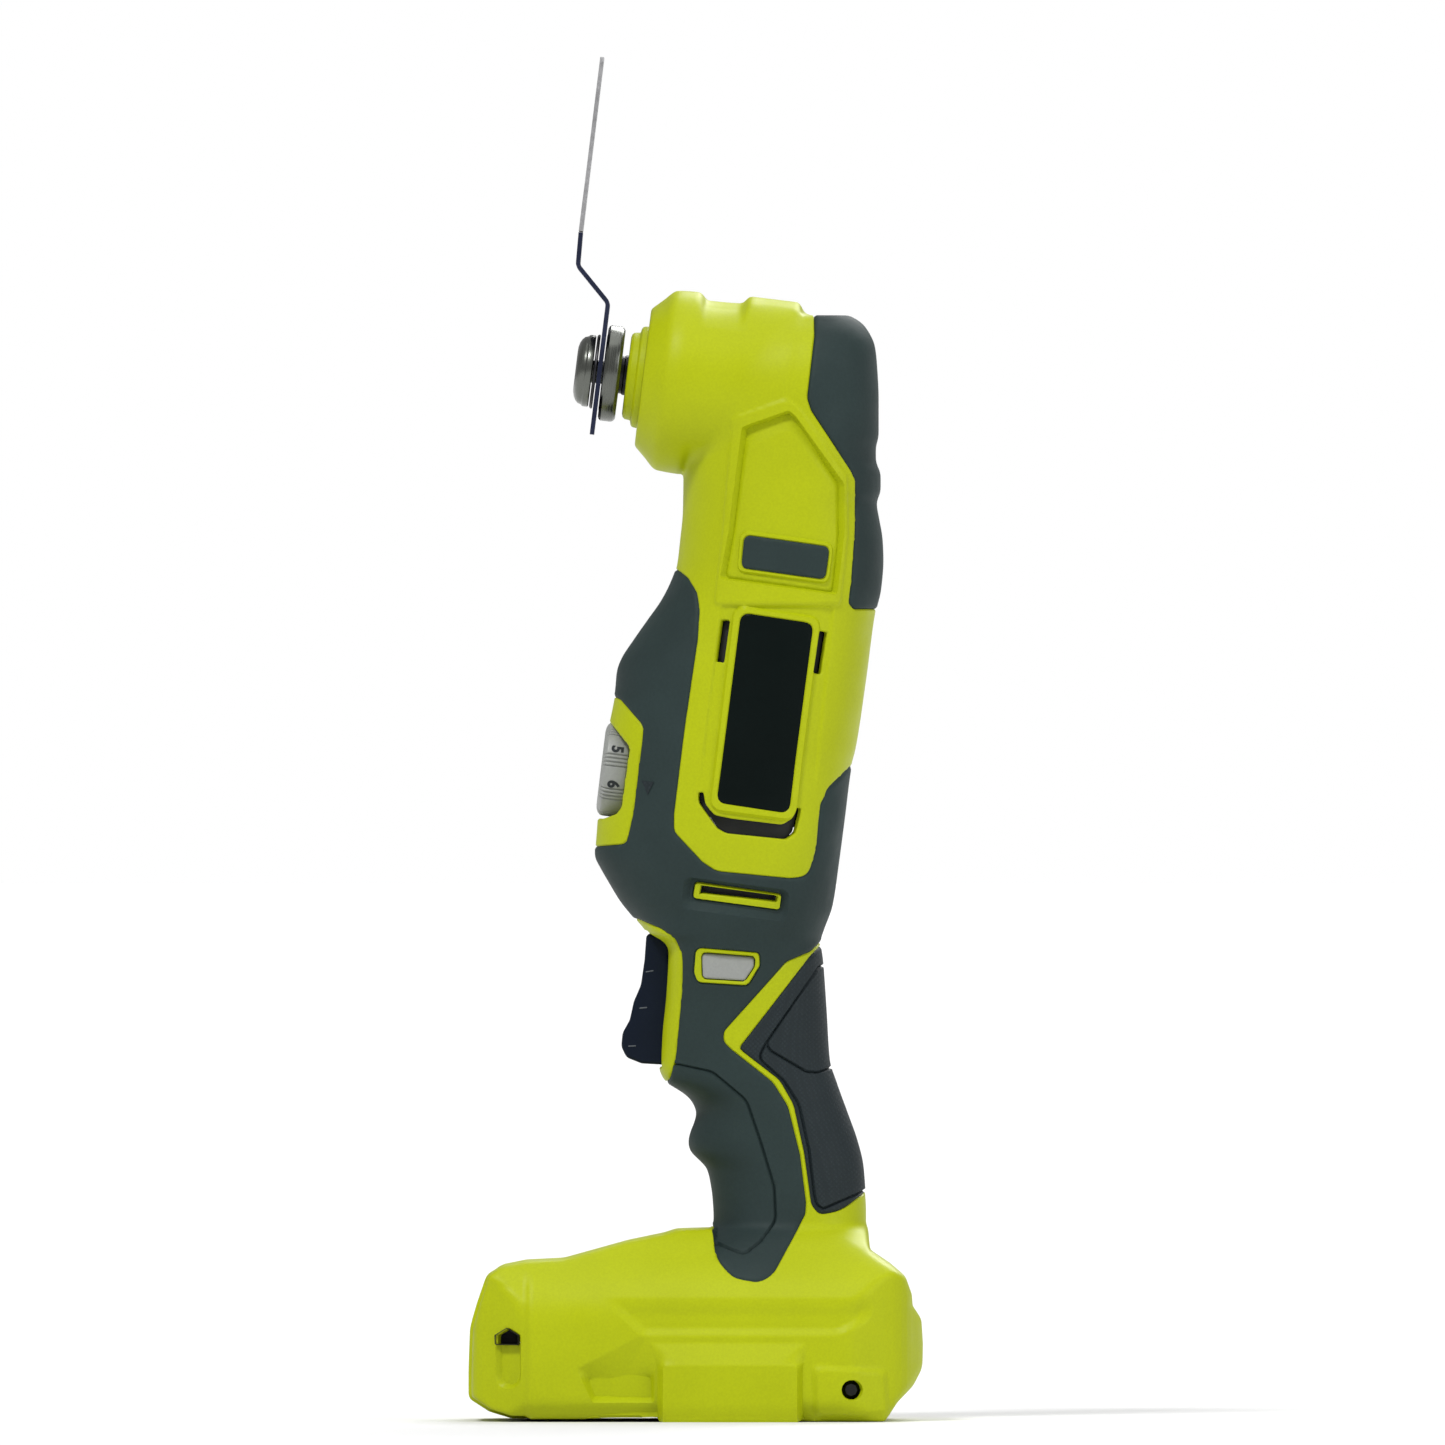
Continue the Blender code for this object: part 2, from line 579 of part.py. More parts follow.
def screws(steel):
    outer = bpy.data.objects["outer"]
    for index, (x, z) in enumerate(screw_places()):
        side, seat = screw_seat(outer, index, x, z)
        low, top = -7.5, seat + GAP
        profile = [(0, low), (SCREW_R * 0.4, low), (SCREW_R, low + 2), (SCREW_R, top), (SCREW_HEAD_R, top),
                   (SCREW_HEAD_R, top + 1), (SCREW_HEAD_R * 0.6, top + 1.9), (0, top + 1.9)]
        turn = Matrix.Rotation(0 if side > 0 else math.pi, 4, "X")
        soften(turned(f"housing_screw_{index + 1}", profile, 8, steel, along_y(x, z) @ turn))


def skins(outer, materials):
    """The soft overmoulds: the body's outer layer inside each outline."""
    core = body_solid("skin_core", GRIP_DEPTH, BODY_SIDES, [*BODY_LEVELS[:-1], 274.6])
    combine(core, "UNION", foot_solid("core_foot", GRIP_DEPTH, FOOT_SIDES))
    layer = copy_of(outer, "layer")
    combine(layer, "DIFFERENCE", core)
    for name, outline in (("body_grip", BODY_GRIP), ("rear_grip", REAR_GRIP), ("head_bumper", HEAD_BUMPER)):
        skin = copy_of(layer, name)
        combine(skin, "INTERSECT", window(outline, -OUTSIDE, OUTSIDE))
        if name == "body_grip":
            combine(
                skin, "DIFFERENCE",
                window(TRIGGER_SLOT, -TRIGGER_HALF - 0.6, TRIGGER_HALF + 0.6),
                window(LOCK_BUTTON, -OUTSIDE, OUTSIDE, 1.4),
                window(LOWER_VENT, -OUTSIDE, OUTSIDE, 1.0, matrix=BARREL),
                window(DIAL_WINDOW, -OUTSIDE, OUTSIDE),
            )
        for side, word in ((-1, "left"), (1, "right")):
            made = one_side(skin, f"{name}_{word}", side)
            for index, (x, z) in enumerate(screw_places()):
                if screw_seat(outer, index, x, z)[0] == side and inside(outline, x, z):
                    well = turned("well", rod(SCREW_HEAD_R + 0.8, 0, side * OUTSIDE), 12, matrix=along_y(x, z))
                    combine(made, "DIFFERENCE", well)
            made.data.materials.clear()
            made.data.materials.append(materials["grip"])
            soften(made)
        bpy.data.objects.remove(skin)
    bpy.data.objects.remove(layer)


def side_plates(outer, materials):
    """The blank label and the soft pad, sunk in each side."""
    for word, outline, deep, thick, look in (
        ("side_pad", SIDE_PAD, 0.9, 0.9, "grip"), ("label", LABEL, 0.6, 0.5, "label"),
    ):
        middle = sum(p for p, _, _ in outline) / len(outline), sum(q for _, q, _ in outline) / len(outline)
        level = side_reach(outer, *in_barrel(*middle)) - deep + GAP * 0.5
        for side, name in ((-1, "left"), (1, "right")):
            low, high = sorted((side * level, side * (level + thick)))
            soften(prism(f"{word}_{name}", rounded(outline), low, high, materials[look], BARREL))


# ---------------------------------------------------------------- spindle and blade


def gear_head(materials):
    """What sits in the head and doesn't move: bearings, their seat, the collar and the seal."""
    lay = BARREL @ UPRIGHT_TO_P
    seat = [(SPINDLE_R + 0.6, -38.3), (SPINDLE_R + 0.6, -39.6), (9.2, -39.6), (9.3, -37.3), (13.4, -37.2),
            (16.6, -34), (16.6, -13), (14.4, -13), (14.4, -27), (11.5, -29.5), (9.3, -29.5), (9.3, -37),
            (9.1, -38.3)]
    soften(turned("gear_case", seat, 20, materials["aluminium"], lay))
    bearing = tube(SPINDLE_R + GAP, 9.0, -38.0, -31.0)
    soften(turned("spindle_front_bearing", bearing, 20, materials["steel"], lay))
    rear = tube(SPINDLE_R + GAP, 8.5, 7.5, 12.5)
    soften(turned("spindle_rear_bearing", rear, 20, materials["steel"], lay))
    collar = [(6.9, -44.4), (10.9, -44.4), (COLLAR_R, -43.7), (COLLAR_R, -40.7), (6.9, -40.7)]
    soften(turned("head_collar", collar, 24, materials["lime"], lay))
    soften(turned("spindle_seal", tube(SPINDLE_R + GAP, 6.6, -43.8, -40.9), 20, materials["black"], lay))


def blade_side_line():
    """The blade's bent mid-line as (p, q), from below the spindle up to the cutting edge."""
    return [(BLADE_P, -15.3), (BLADE_P, 17.2), (BLADE_P - 8.7, 25.6), (BLADE_P - 8.9, 34.0)]


def swept_strip(line, thick):
    """The outline around a bent strip of even thickness."""
    sides = {1: [], -1: []}
    for k, (p, q) in enumerate(line):
        before = Vector(line[k]) - Vector(line[k - 1]) if k else Vector(line[1]) - Vector(line[0])
        after = Vector(line[k + 1]) - Vector(line[k]) if k + 1 < len(line) else before
        before, after = before.normalized(), after.normalized()
        across = Vector((before.y + after.y, -before.x - after.x)).normalized()
        reach = thick / 2 / across.dot(Vector((before.y, -before.x)))
        for side in sides:
            sides[side].append(Vector((p, q)) + across * reach * side)
    return sides[1] + sides[-1][::-1]


def spindle_group(materials):
    """Everything that swings with the spindle."""
    lay = BARREL @ UPRIGHT_TO_P
    bore = BOLT_R + GAP
    profile = [(bore, HOLDER_FRONT + 0.2), (SPINDLE_R, HOLDER_FRONT + 0.2), (SPINDLE_R, 13.5), (0, 13.5),
               (0, -29.5), (bore, -31)]
    soften(turned("spindle", profile, 24, materials["dark_steel"], lay))
    holder = [(SPINDLE_R + GAP, HOLDER_FRONT), (HOLDER_R - 0.5, HOLDER_FRONT), (HOLDER_R, HOLDER_FRONT + 0.5),
              (HOLDER_R, HOLDER_BACK - 0.5), (HOLDER_R - 0.5, HOLDER_BACK), (SPINDLE_R + GAP, HOLDER_BACK)]
    soften(turned("tool_holder", holder, 32, materials["steel"], lay))

    outline = [Vector((8.6 * math.sin(a), 8.6 * math.cos(a))) for a in (math.radians(d) for d in range(-110, 111, 20))]
    prong = FORK_SLOT + 3.2
    outline += [Vector((prong, -14)), Vector((prong, FORK_END)), Vector((FORK_SLOT, FORK_END)), Vector((FORK_SLOT, -12)),
                Vector((-FORK_SLOT, -12)), Vector((-FORK_SLOT, FORK_END)), Vector((-prong, FORK_END)), Vector((-prong, -14))]
    fork = prism("drive_fork", outline, -4.5, 4.5, materials["aluminium"], BARREL @ Matrix.Rotation(math.pi / 2, 4, "Z"))
    combine(fork, "DIFFERENCE", turned("bore", rod(SPINDLE_R + GAP, -10, 10), 24, matrix=lay))
    soften(fork)

    shank = prism("blade_shank", swept_strip(blade_side_line(), BLADE_THICK), -14, 14, materials["dark_steel"], BARREL)
    edge = [(-14, 40, 0), (-14, 20, 4), (-9.5, 6, 8), (-10.5, -15.9, 6), (10.5, -15.9, 6), (9.5, 6, 8), (14, 20, 4), (14, 40, 0)]
    face_on = BARREL @ Matrix.Rotation(math.pi / 2, 4, "Z")
    combine(shank, "INTERSECT", prism("trim", rounded(edge), 40, 75, matrix=face_on))
    hole = turned("hole", rod(BOLT_R + 1.2, -56, -49), 24, matrix=lay)
    soften(combine(shank, "DIFFERENCE", hole))

    blade_outline = [(-14, 34.3, 0), (14, 34.3, 0), (14, 77.2, 0)]
    teeth = 14
    for k in range(teeth):
        across = 14 - 28 * (k + 0.5) / teeth
        blade_outline += [(across, 78.2, 0), (across - 14 / teeth, 77.2, 0)]
    low = -(BLADE_P - 8.9) - BLADE_THICK / 2
    points = [Vector(point[:2]) for point in blade_outline]
    soften(prism("blade_edge", points, low, low + BLADE_THICK, materials["blade"], face_on))


def clamp_group(materials):
    """The clamping bolt and its washer, which come off to change the blade."""
    lay = BARREL @ UPRIGHT_TO_P
    back = BLADE_P - BLADE_THICK / 2 - 0.25
    soften(turned("clamp_washer", tube(BOLT_R + GAP, WASHER_R, back - WASHER_THICK, back), 28, materials["dark_steel"], lay))
    seat = back - WASHER_THICK - 0.25
    top = seat - BOLT_HEAD_H
    profile = [(0, top + 2.6), (2.9, top + 2.6), (2.9, top), (5, top), (7.6, top + 0.9), (8.6, top + 2.2),
               (BOLT_HEAD_R, seat - 0.8), (BOLT_HEAD_R, seat), (BOLT_R, seat), (BOLT_R, -33.5), (0, -33.5)]
    soften(turned("clamp_bolt", profile, 24, materials["steel"], lay))


# ---------------------------------------------------------------- motor


def motor(materials):
    can = [(5.2, MOTOR_TOP + 3), (7, MOTOR_TOP + 3), (7, MOTOR_TOP), (MOTOR_R - 1, MOTOR_TOP), (MOTOR_R, MOTOR_TOP - 1),
           (MOTOR_R, MOTOR_BOTTOM), (MOTOR_R - 1.4, MOTOR_BOTTOM), (MOTOR_R - 1.4, MOTOR_TOP - 1.6), (5.2, MOTOR_TOP - 1.6)]
    soften(turned("motor_can", can, 20, materials["dark_steel"], BARREL))
    soften(turned("motor_front_bearing", tube(SHAFT_R + GAP, 4.9, MOTOR_TOP - 1.2, MOTOR_TOP + 2.6), 16, materials["steel"], BARREL))
    cap = [(SHAFT_R + 0.5, MOTOR_BOTTOM - GAP), (MOTOR_R - 0.3, MOTOR_BOTTOM - GAP), (MOTOR_R - 0.3, -91.5), (14, -93.6),
           (SHAFT_R + 0.5, -93.6)]
    soften(turned("motor_end_cap", cap, 20, materials["black"], BARREL))
    shroud = [(16.5, -107), (17.3, -107), (17.3, -98), (16.5, -98)]
    soften(turned("fan_shroud", shroud, 20, materials["black"], BARREL))
    for word, middle in (("front", math.pi), ("rear", 0.0)):
        reach = [middle + math.radians(d) for d in range(-60, 61, 15)]
        outline = [Vector((16.2 * math.cos(a), 16.2 * math.sin(a))) for a in reach]
        outline += [Vector((13.4 * math.cos(a), 13.4 * math.sin(a))) for a in reversed(reach)]
        stand = BARREL @ Matrix.Rotation(math.pi / 2, 4, "X")
        soften(prism(f"motor_magnet_{word}", outline, -82, -43, materials["black"], stand))


def rotor(materials):
    """The pieces on the motor shaft, from the fan up to the eccentric that drives the fork."""
    soften(turned("motor_shaft", rod(SHAFT_R, -105, -19.5), 12, materials["steel"], BARREL))
    inner = SHAFT_R + GAP
    core = [(inner, -80), (11, -80), (11, -77), (12.6, -76), (12.6, -48), (11, -47), (11, -44), (inner, -44)]
    soften(turned("armature", core, 16, materials["copper"], BARREL))
    soften(turned("commutator", tube(inner, 5.4, -87.5, -81), 16, materials["copper"], BARREL))
    fan = turned("cooling_fan", [(inner, -104), (15.6, -104), (15.6, -103), (5.5, -102.4), (5.5, -96), (inner, -96)], 20,
                 materials["white"], BARREL)
    vane_count = 9
    for k in range(vane_count):
        turn = Matrix.Rotation(2 * math.pi * k / vane_count, 4, "Z") @ Matrix.Rotation(0.35, 4, "X")
        vane = box("vane", (4.8, -0.6, -0.6), (15.2, 0.6, 5.4), matrix=BARREL @ Matrix.Translation((0, 0, -0.1028)) @ turn)
        combine(fan, "UNION", vane)
    soften(fan)
    low, high = ECCENTRIC_Q
    offset = BARREL @ Matrix.Translation((ECCENTRICITY * MM, 0, 0))
    sleeve = turned("eccentric_sleeve", rod(3.8, low - 0.6, high + 0.4), 20, materials["steel"], offset)
    soften(combine(sleeve, "DIFFERENCE", turned("bore", rod(inner, -40, -10), 16, matrix=BARREL)))
    soften(turned("eccentric_bearing", tube(4.1, ECC_BEARING_R, low, high), 20, materials["steel"], offset))
    weight = [Vector((9 * math.cos(a), 9 * math.sin(a))) for a in (math.radians(d) for d in range(100, 261, 20))]
    weight += [Vector((1.5, -5)), Vector((3.6, -2.5)), Vector((3.6, 2.5)), Vector((1.5, 5))]
    stand = BARREL @ Matrix.Rotation(math.pi / 2, 4, "X")
    mass = prism("balance_weight", weight, -32.5, -28.4, materials["dark_steel"], stand)
    soften(combine(mass, "DIFFERENCE", turned("bore", rod(inner, -40, -20), 16, matrix=BARREL)))


# ---------------------------------------------------------------- controls and wiring


def speed_dial(materials):
    lay = dial_frame()
    count = 32
    rim = [(0, DIAL_FRONT), (DIAL_R - 2.2, DIAL_FRONT), (DIAL_R - 0.6, DIAL_FRONT + 0.7), (DIAL_R, DIAL_FRONT + 2),
           (DIAL_R, DIAL_BACK), (0, DIAL_BACK)]
    soften(turned("speed_dial", rim, count, materials["grey"], lay))
    front = DIAL_BACK + GAP
    carrier = turned("dial_carrier", tube(6.2, DIAL_R - 1.9, front, front + 1.6), 20, materials["black"], lay)
    soften(carrier)
    soften(turned("dial_potentiometer", rod(5.8, front, -26.4), 16, materials["black"], lay))
    box("control_board", (-13, -0.8, -131), (12, 0.8, -109), materials["board"], BARREL)


def trigger_group(materials):
    pull = prism("trigger", rounded(TRIGGER), -TRIGGER_HALF, TRIGGER_HALF, materials["black"])
    soften(moved_origin(pull, Vector((-6.5, 0, 98))))
    lay = Matrix.Translation((0, 0, 98 * MM)) @ UPRIGHT_TO_P
    soften(turned("trigger_plunger", rod(2.6, -6.2, 6), 12, materials["white"], lay))
    body = box("switch_body", (1, -10.5, 84.5), (24, 10.5, 106.5), materials["black"])
    combine(body, "DIFFERENCE", turned("bore", rod(3.2, -5, 14), 16, matrix=lay))
    soften(body)


def lock_button(materials):
    reach = 19.6
    made = prism("lock_button", rounded(LOCK_BUTTON), -reach, reach, materials["grey"])
    soften(moved_origin(made, Vector((8, 0, 113.4))))


def battery_terminals(materials):
    front, back, _, top = STEM_POCKET
    box("terminal_block", (10.2, -7.6, top - 2), (25, 7.6, top + 8), materials["black"])
    for name, y in (("positive", -5.5), ("signal", 0.0), ("negative", 5.5)):
        box(f"terminal_{name}", (12, y - 0.5, top - 13), (22, y + 0.5, top - 2 - GAP), materials["copper"])


def wire(name, points, look):
    """A round lead on a smooth line through its points."""
    dense = []
    for k in range(len(points) - 1):
        a, b, c, d = (Vector(points[min(max(i, 0), len(points) - 1)]) for i in (k - 1, k, k + 1, k + 2))
        for step in range(3):
            t = step / 3
            dense.append(0.5 * (2 * b + (c - a) * t + (2 * a - 5 * b + 4 * c - d) * t * t + (3 * b - a - 3 * c + d) * t**3))
    dense.append(Vector(points[-1]))
    across = Vector((0, 1, 0))
    rings = []
    for k, here in enumerate(dense):
        along = (dense[min(k + 1, len(dense) - 1)] - dense[max(k - 1, 0)]).normalized()
        across = (across - along * across.dot(along)).normalized()
        other = along.cross(across)
        turns = [2 * math.pi * step / 6 for step in range(6)]
        rings.append([(here + (across * math.cos(a) + other * math.sin(a)) * LEAD_R) * MM for a in turns])
    soften(loft(name, rings, look), 60)


def wiring(materials):
    top = STEM_POCKET[3] + 8
    end_cap_x, end_cap_z = in_barrel(0, -94.2)
    for name, y, look in (("battery_lead_red", -5, "red"), ("battery_lead_black", 5, "black")):
        wire(name, [(17, y, top + 0.4), (17.6, y, 58), (22, y * 1.3, 66), (17, y * 1.1, 76), (16, y, 84.1)], materials[look])
    for name, y, look in (("motor_lead_red", -8, "red"), ("motor_lead_black", 8, "black")):
        wire(name, [(20, y, 106.9), (20.6, y, 112), (21, y * 1.4, 122), (27, y * 1.8, 136),
                    (31.5, y * 1.45, 150), (30, y * 1.3, 158), (end_cap_x + 10, y, end_cap_z - 1.9)], materials[look])


# ---------------------------------------------------------------- assembly


def main():
    for old in list(bpy.data.objects):
        bpy.data.objects.remove(old)
    materials = make_materials()
    outer = body_solid("outer", 0.0, BODY_SIDES, BODY_LEVELS)
    combine(outer, "UNION", foot_solid("foot", 0.0, FOOT_SIDES))
    housing_halves(outer, materials["lime"])
    skins(outer, materials)
    side_plates(outer, materials)
    screws(materials["dark_steel"])
    bpy.data.objects.remove(outer)
    gear_head(materials)
    spindle_group(materials)
    clamp_group(materials)
    motor(materials)
    rotor(materials)
    speed_dial(materials)
    trigger_group(materials)
    lock_button(materials)
    battery_terminals(materials)
    wiring(materials)
    for made in bpy.context.scene.objects:
        look = made.data.materials[0].copy()
        look.name = f"{made.name}_material"
        made.data.materials[0] = look


main()
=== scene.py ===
"""A cordless oscillating multi tool: fine moulded shells, controls, spindle and blade around the CAD frame.

The two shell sides are one smooth surface, divided along the mould's border lines into hard lime
plastic and soft grey overmould. Lengths are in millimetres until they reach a mesh. In the leaning
barrel p runs back along the spindle's axis and q up the motor's axis.
"""

import json
import math

import bmesh
import bpy
import numpy as np
from mathutils import Matrix, Vector


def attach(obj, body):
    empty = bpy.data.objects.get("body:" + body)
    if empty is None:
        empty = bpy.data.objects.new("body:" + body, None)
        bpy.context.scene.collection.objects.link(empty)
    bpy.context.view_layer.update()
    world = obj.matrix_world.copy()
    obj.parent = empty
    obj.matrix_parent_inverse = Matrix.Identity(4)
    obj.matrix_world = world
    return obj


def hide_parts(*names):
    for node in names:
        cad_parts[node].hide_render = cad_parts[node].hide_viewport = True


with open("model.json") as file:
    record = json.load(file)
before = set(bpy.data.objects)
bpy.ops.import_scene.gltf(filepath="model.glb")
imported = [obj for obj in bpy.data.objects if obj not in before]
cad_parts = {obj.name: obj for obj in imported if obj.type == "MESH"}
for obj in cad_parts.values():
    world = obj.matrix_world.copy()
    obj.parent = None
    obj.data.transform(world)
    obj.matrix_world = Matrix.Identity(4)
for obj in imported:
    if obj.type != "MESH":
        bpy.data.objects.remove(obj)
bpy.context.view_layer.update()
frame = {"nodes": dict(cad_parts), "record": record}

MM = 0.001
TILT = math.radians(7.0)
COS, SIN = math.cos(TILT), math.sin(TILT)
AXES_X, AXES_Z = 26.7, 255.75  # where the spindle's and the motor's axes cross
CELL = 0.8  # spacing of the surface's points
SEAM = 0.01  # half the parting line's gap
SKIN = 1.5  # how thick a shell piece is
WIDEST = 38.8  # half the foot's width at its latch blocks

BARREL = Matrix.Translation((AXES_X * MM, 0, AXES_Z * MM)) @ Matrix.Rotation(TILT, 4, "Y")
UPRIGHT_TO_P = Matrix.Rotation(math.pi / 2, 4, "Y")
ALONG_P = BARREL @ UPRIGHT_TO_P

# ---------------------------------------------------------------- the body's form

# The side profile, as (height, x)
FRONT = [
    (25, 2), (45, 4.3), (51, 4.5), (56, 4.2), (60, 3.6), (63, 2.8), (65.2, 0.8), (67.5, -1.4), (69.5, -1.8),
    (72, -1.3), (74.5, -0.3), (76.8, 0.2), (79.2, -0.6), (81.2, -2.2), (83.2, -5.2), (85, -8), (88.7, -9.3),
    (96, -9), (106, -7.9), (117.5, -7.2), (120, -8.7), (121.75, -12.5), (122.5, -12.8), (125, -14.9),
    (126.8, -16.5), (130, -19), (135, -22), (138.5, -24), (141.2, -25.2), (147.5, -24.8), (162.5, -23.6),
    (171, -22.3), (182.5, -20.1), (187, -19.7), (190, -18.7), (195, -15.5), (200, -12), (205, -8.5),
    (210, -6), (213.5, -4.8), (220, -4), (227.5, -3.3), (250, -3), (262, -1), (270, 8), (274, 16), (276, 20),
]
BACK = [
    (25, 42.5), (52.5, 42.5), (57.5, 42.2), (63.7, 41.7), (70, 40.2), (76.2, 38), (84.5, 35), (90, 33.3),
    (102.5, 32.5), (115, 31.6), (119.8, 31), (122.5, 31.8), (128.7, 34), (138.7, 35.5), (150, 37),
    (163.7, 38.8), (167.5, 39.8), (185, 42.5), (202, 44.8), (207.5, 46.1), (215, 46.7), (220, 46.5),
    (226, 45.5), (229.2, 45), (232.5, 46), (236.2, 46), (240, 44.8), (243, 44.8), (246.2, 45.5), (255, 45.5),
    (265, 45), (268.7, 44.5), (272, 43), (274.5, 41), (276, 38.2),
]
WIDEST_X = [
    (25, 23), (50, 23.4), (60, 22.6), (70, 19.2), (80, 16.5), (90, 12.5), (100, 12.3), (110, 12), (118, 11.5),
    (125, 10.7), (140, 12.5), (165, 15.6), (200, 19.9), (225, 22.9), (256, 26.7), (276, 29.2),
]
HALF_WIDTH = [
    (25, 20), (45, 18.5), (52, 17.4), (63, 17), (76, 16.8), (90, 17.2), (100, 17.8), (110, 19), (118, 20.5),
    (124, 22.5), (130, 24.5), (138, 26), (150, 27), (165, 27), (182, 26.6), (200, 25.8), (220, 25),
    (240, 24.6), (255, 24), (262, 23), (268, 20.5), (272, 17.5), (274.5, 14), (276, 10),
]
FRONT_POWER = [(25, 2.4), (80, 2.3), (86, 3.6), (119, 3.6), (126, 2.3), (140, 2.1), (276, 2.1)]
BACK_POWER = 2.5
BODY_TOP, FOOT_TOP = 276.0, 48.4
# The foot from the side and from above, as (x, z, corner radius) and (x, y, corner radius)
FOOT_SIDE = [
    (4, 60, 0), (4, 48.3, 0), (-4.6, 47.9, 3), (-8, 46.8, 4), (-17, 44.9, 8), (-33, 40.4, 8),
    (-42.6, 39.9, 8), (-48.4, 38.7, 5), (-52.4, 36.2, 3), (-54.6, 29.8, 5), (-56.6, 23, 8), (-57.2, 12.5, 8),
    (-57.2, 6, 2), (-51.6, 2.4, 3), (-46, 0.7, 2), (-10.4, 0.7, 0.3), (-9.2, 0, 0.3), (47, 0, 1),
    (50.4, 5, 5), (54.2, 8.8, 6), (56.8, 13.6, 6), (57, 19, 5), (56.4, 25.2, 3), (54.1, 28.6, 2),
    (53.9, 31.6, 3), (52.4, 35.8, 4), (48.4, 39.2, 4), (43.4, 42.6, 2), (42.4, 50, 0), (42.4, 60, 0),
]
FOOT_PLAN = [
    (-57.2, -27.5, 7), (-42.2, -36.4, 1.5), (38, -36.4, 16), (52, -28, 14), (57.2, -12, 14), (57.2, 12, 14),
    (52, 28, 14), (38, 36.4, 16), (-42.2, 36.4, 1.5), (-57.2, 27.5, 7),
]
FOOT_HALF = [
    (-4, 29.9), (0, 32.4), (0.8, 32.9), (6.2, 36.4), (23, 36.4), (29, 35.2), (34.5, 32.4), (38.3, 29.2),
    (42.3, 25), (45.3, 22), (49, 18), (60, 12),
]
FLARE = 1.7  # how fast the handle widens into the foot
# The gear head, turned about the spindle axis, as (p, radius): above and below, and at the sides
HEAD = [
    (-40.3, 17.2), (-37.5, 19.8), (-34.2, 22.6), (-28.7, 22.9), (-26.4, 21.1), (-18, 21.4), (-16, 23.4),
    (-4.1, 23.4), (-1.7, 20.4), (6, 17),
]
HEAD_SIDE = [
    (-40.3, 17.2), (-37.5, 19.8), (-34.2, 22.3), (-31, 22.9), (-18, 22.8), (-4, 22.4), (-1, 20.4), (6, 17),
]
BATTERY_BAY = (-42.8, 32.0, 32.8, 14.0)  # front x, back x, half width, ceiling
BAY_POWER = 4.2
STEM_POCKET = (6.0, 31.4, 15.0, 42.0)
TRIGGER_SLOT = (0.6, 88.3, 122.15, 8.6)  # back x, lowest, highest, half width
SCREWS = [(38.7, 8.0), (-46.6, 21.2), (36.0, 62.0), (27.0, 121.0), (-15.0, 138.0), (-8.0, 190.0)]
HEAD_SCREW = (2.0, 14.0)  # p, q
WELL_R = 2.6
LEFT_WELL = "well_0"  # the foot's rear screw goes in from the left, the others from the right

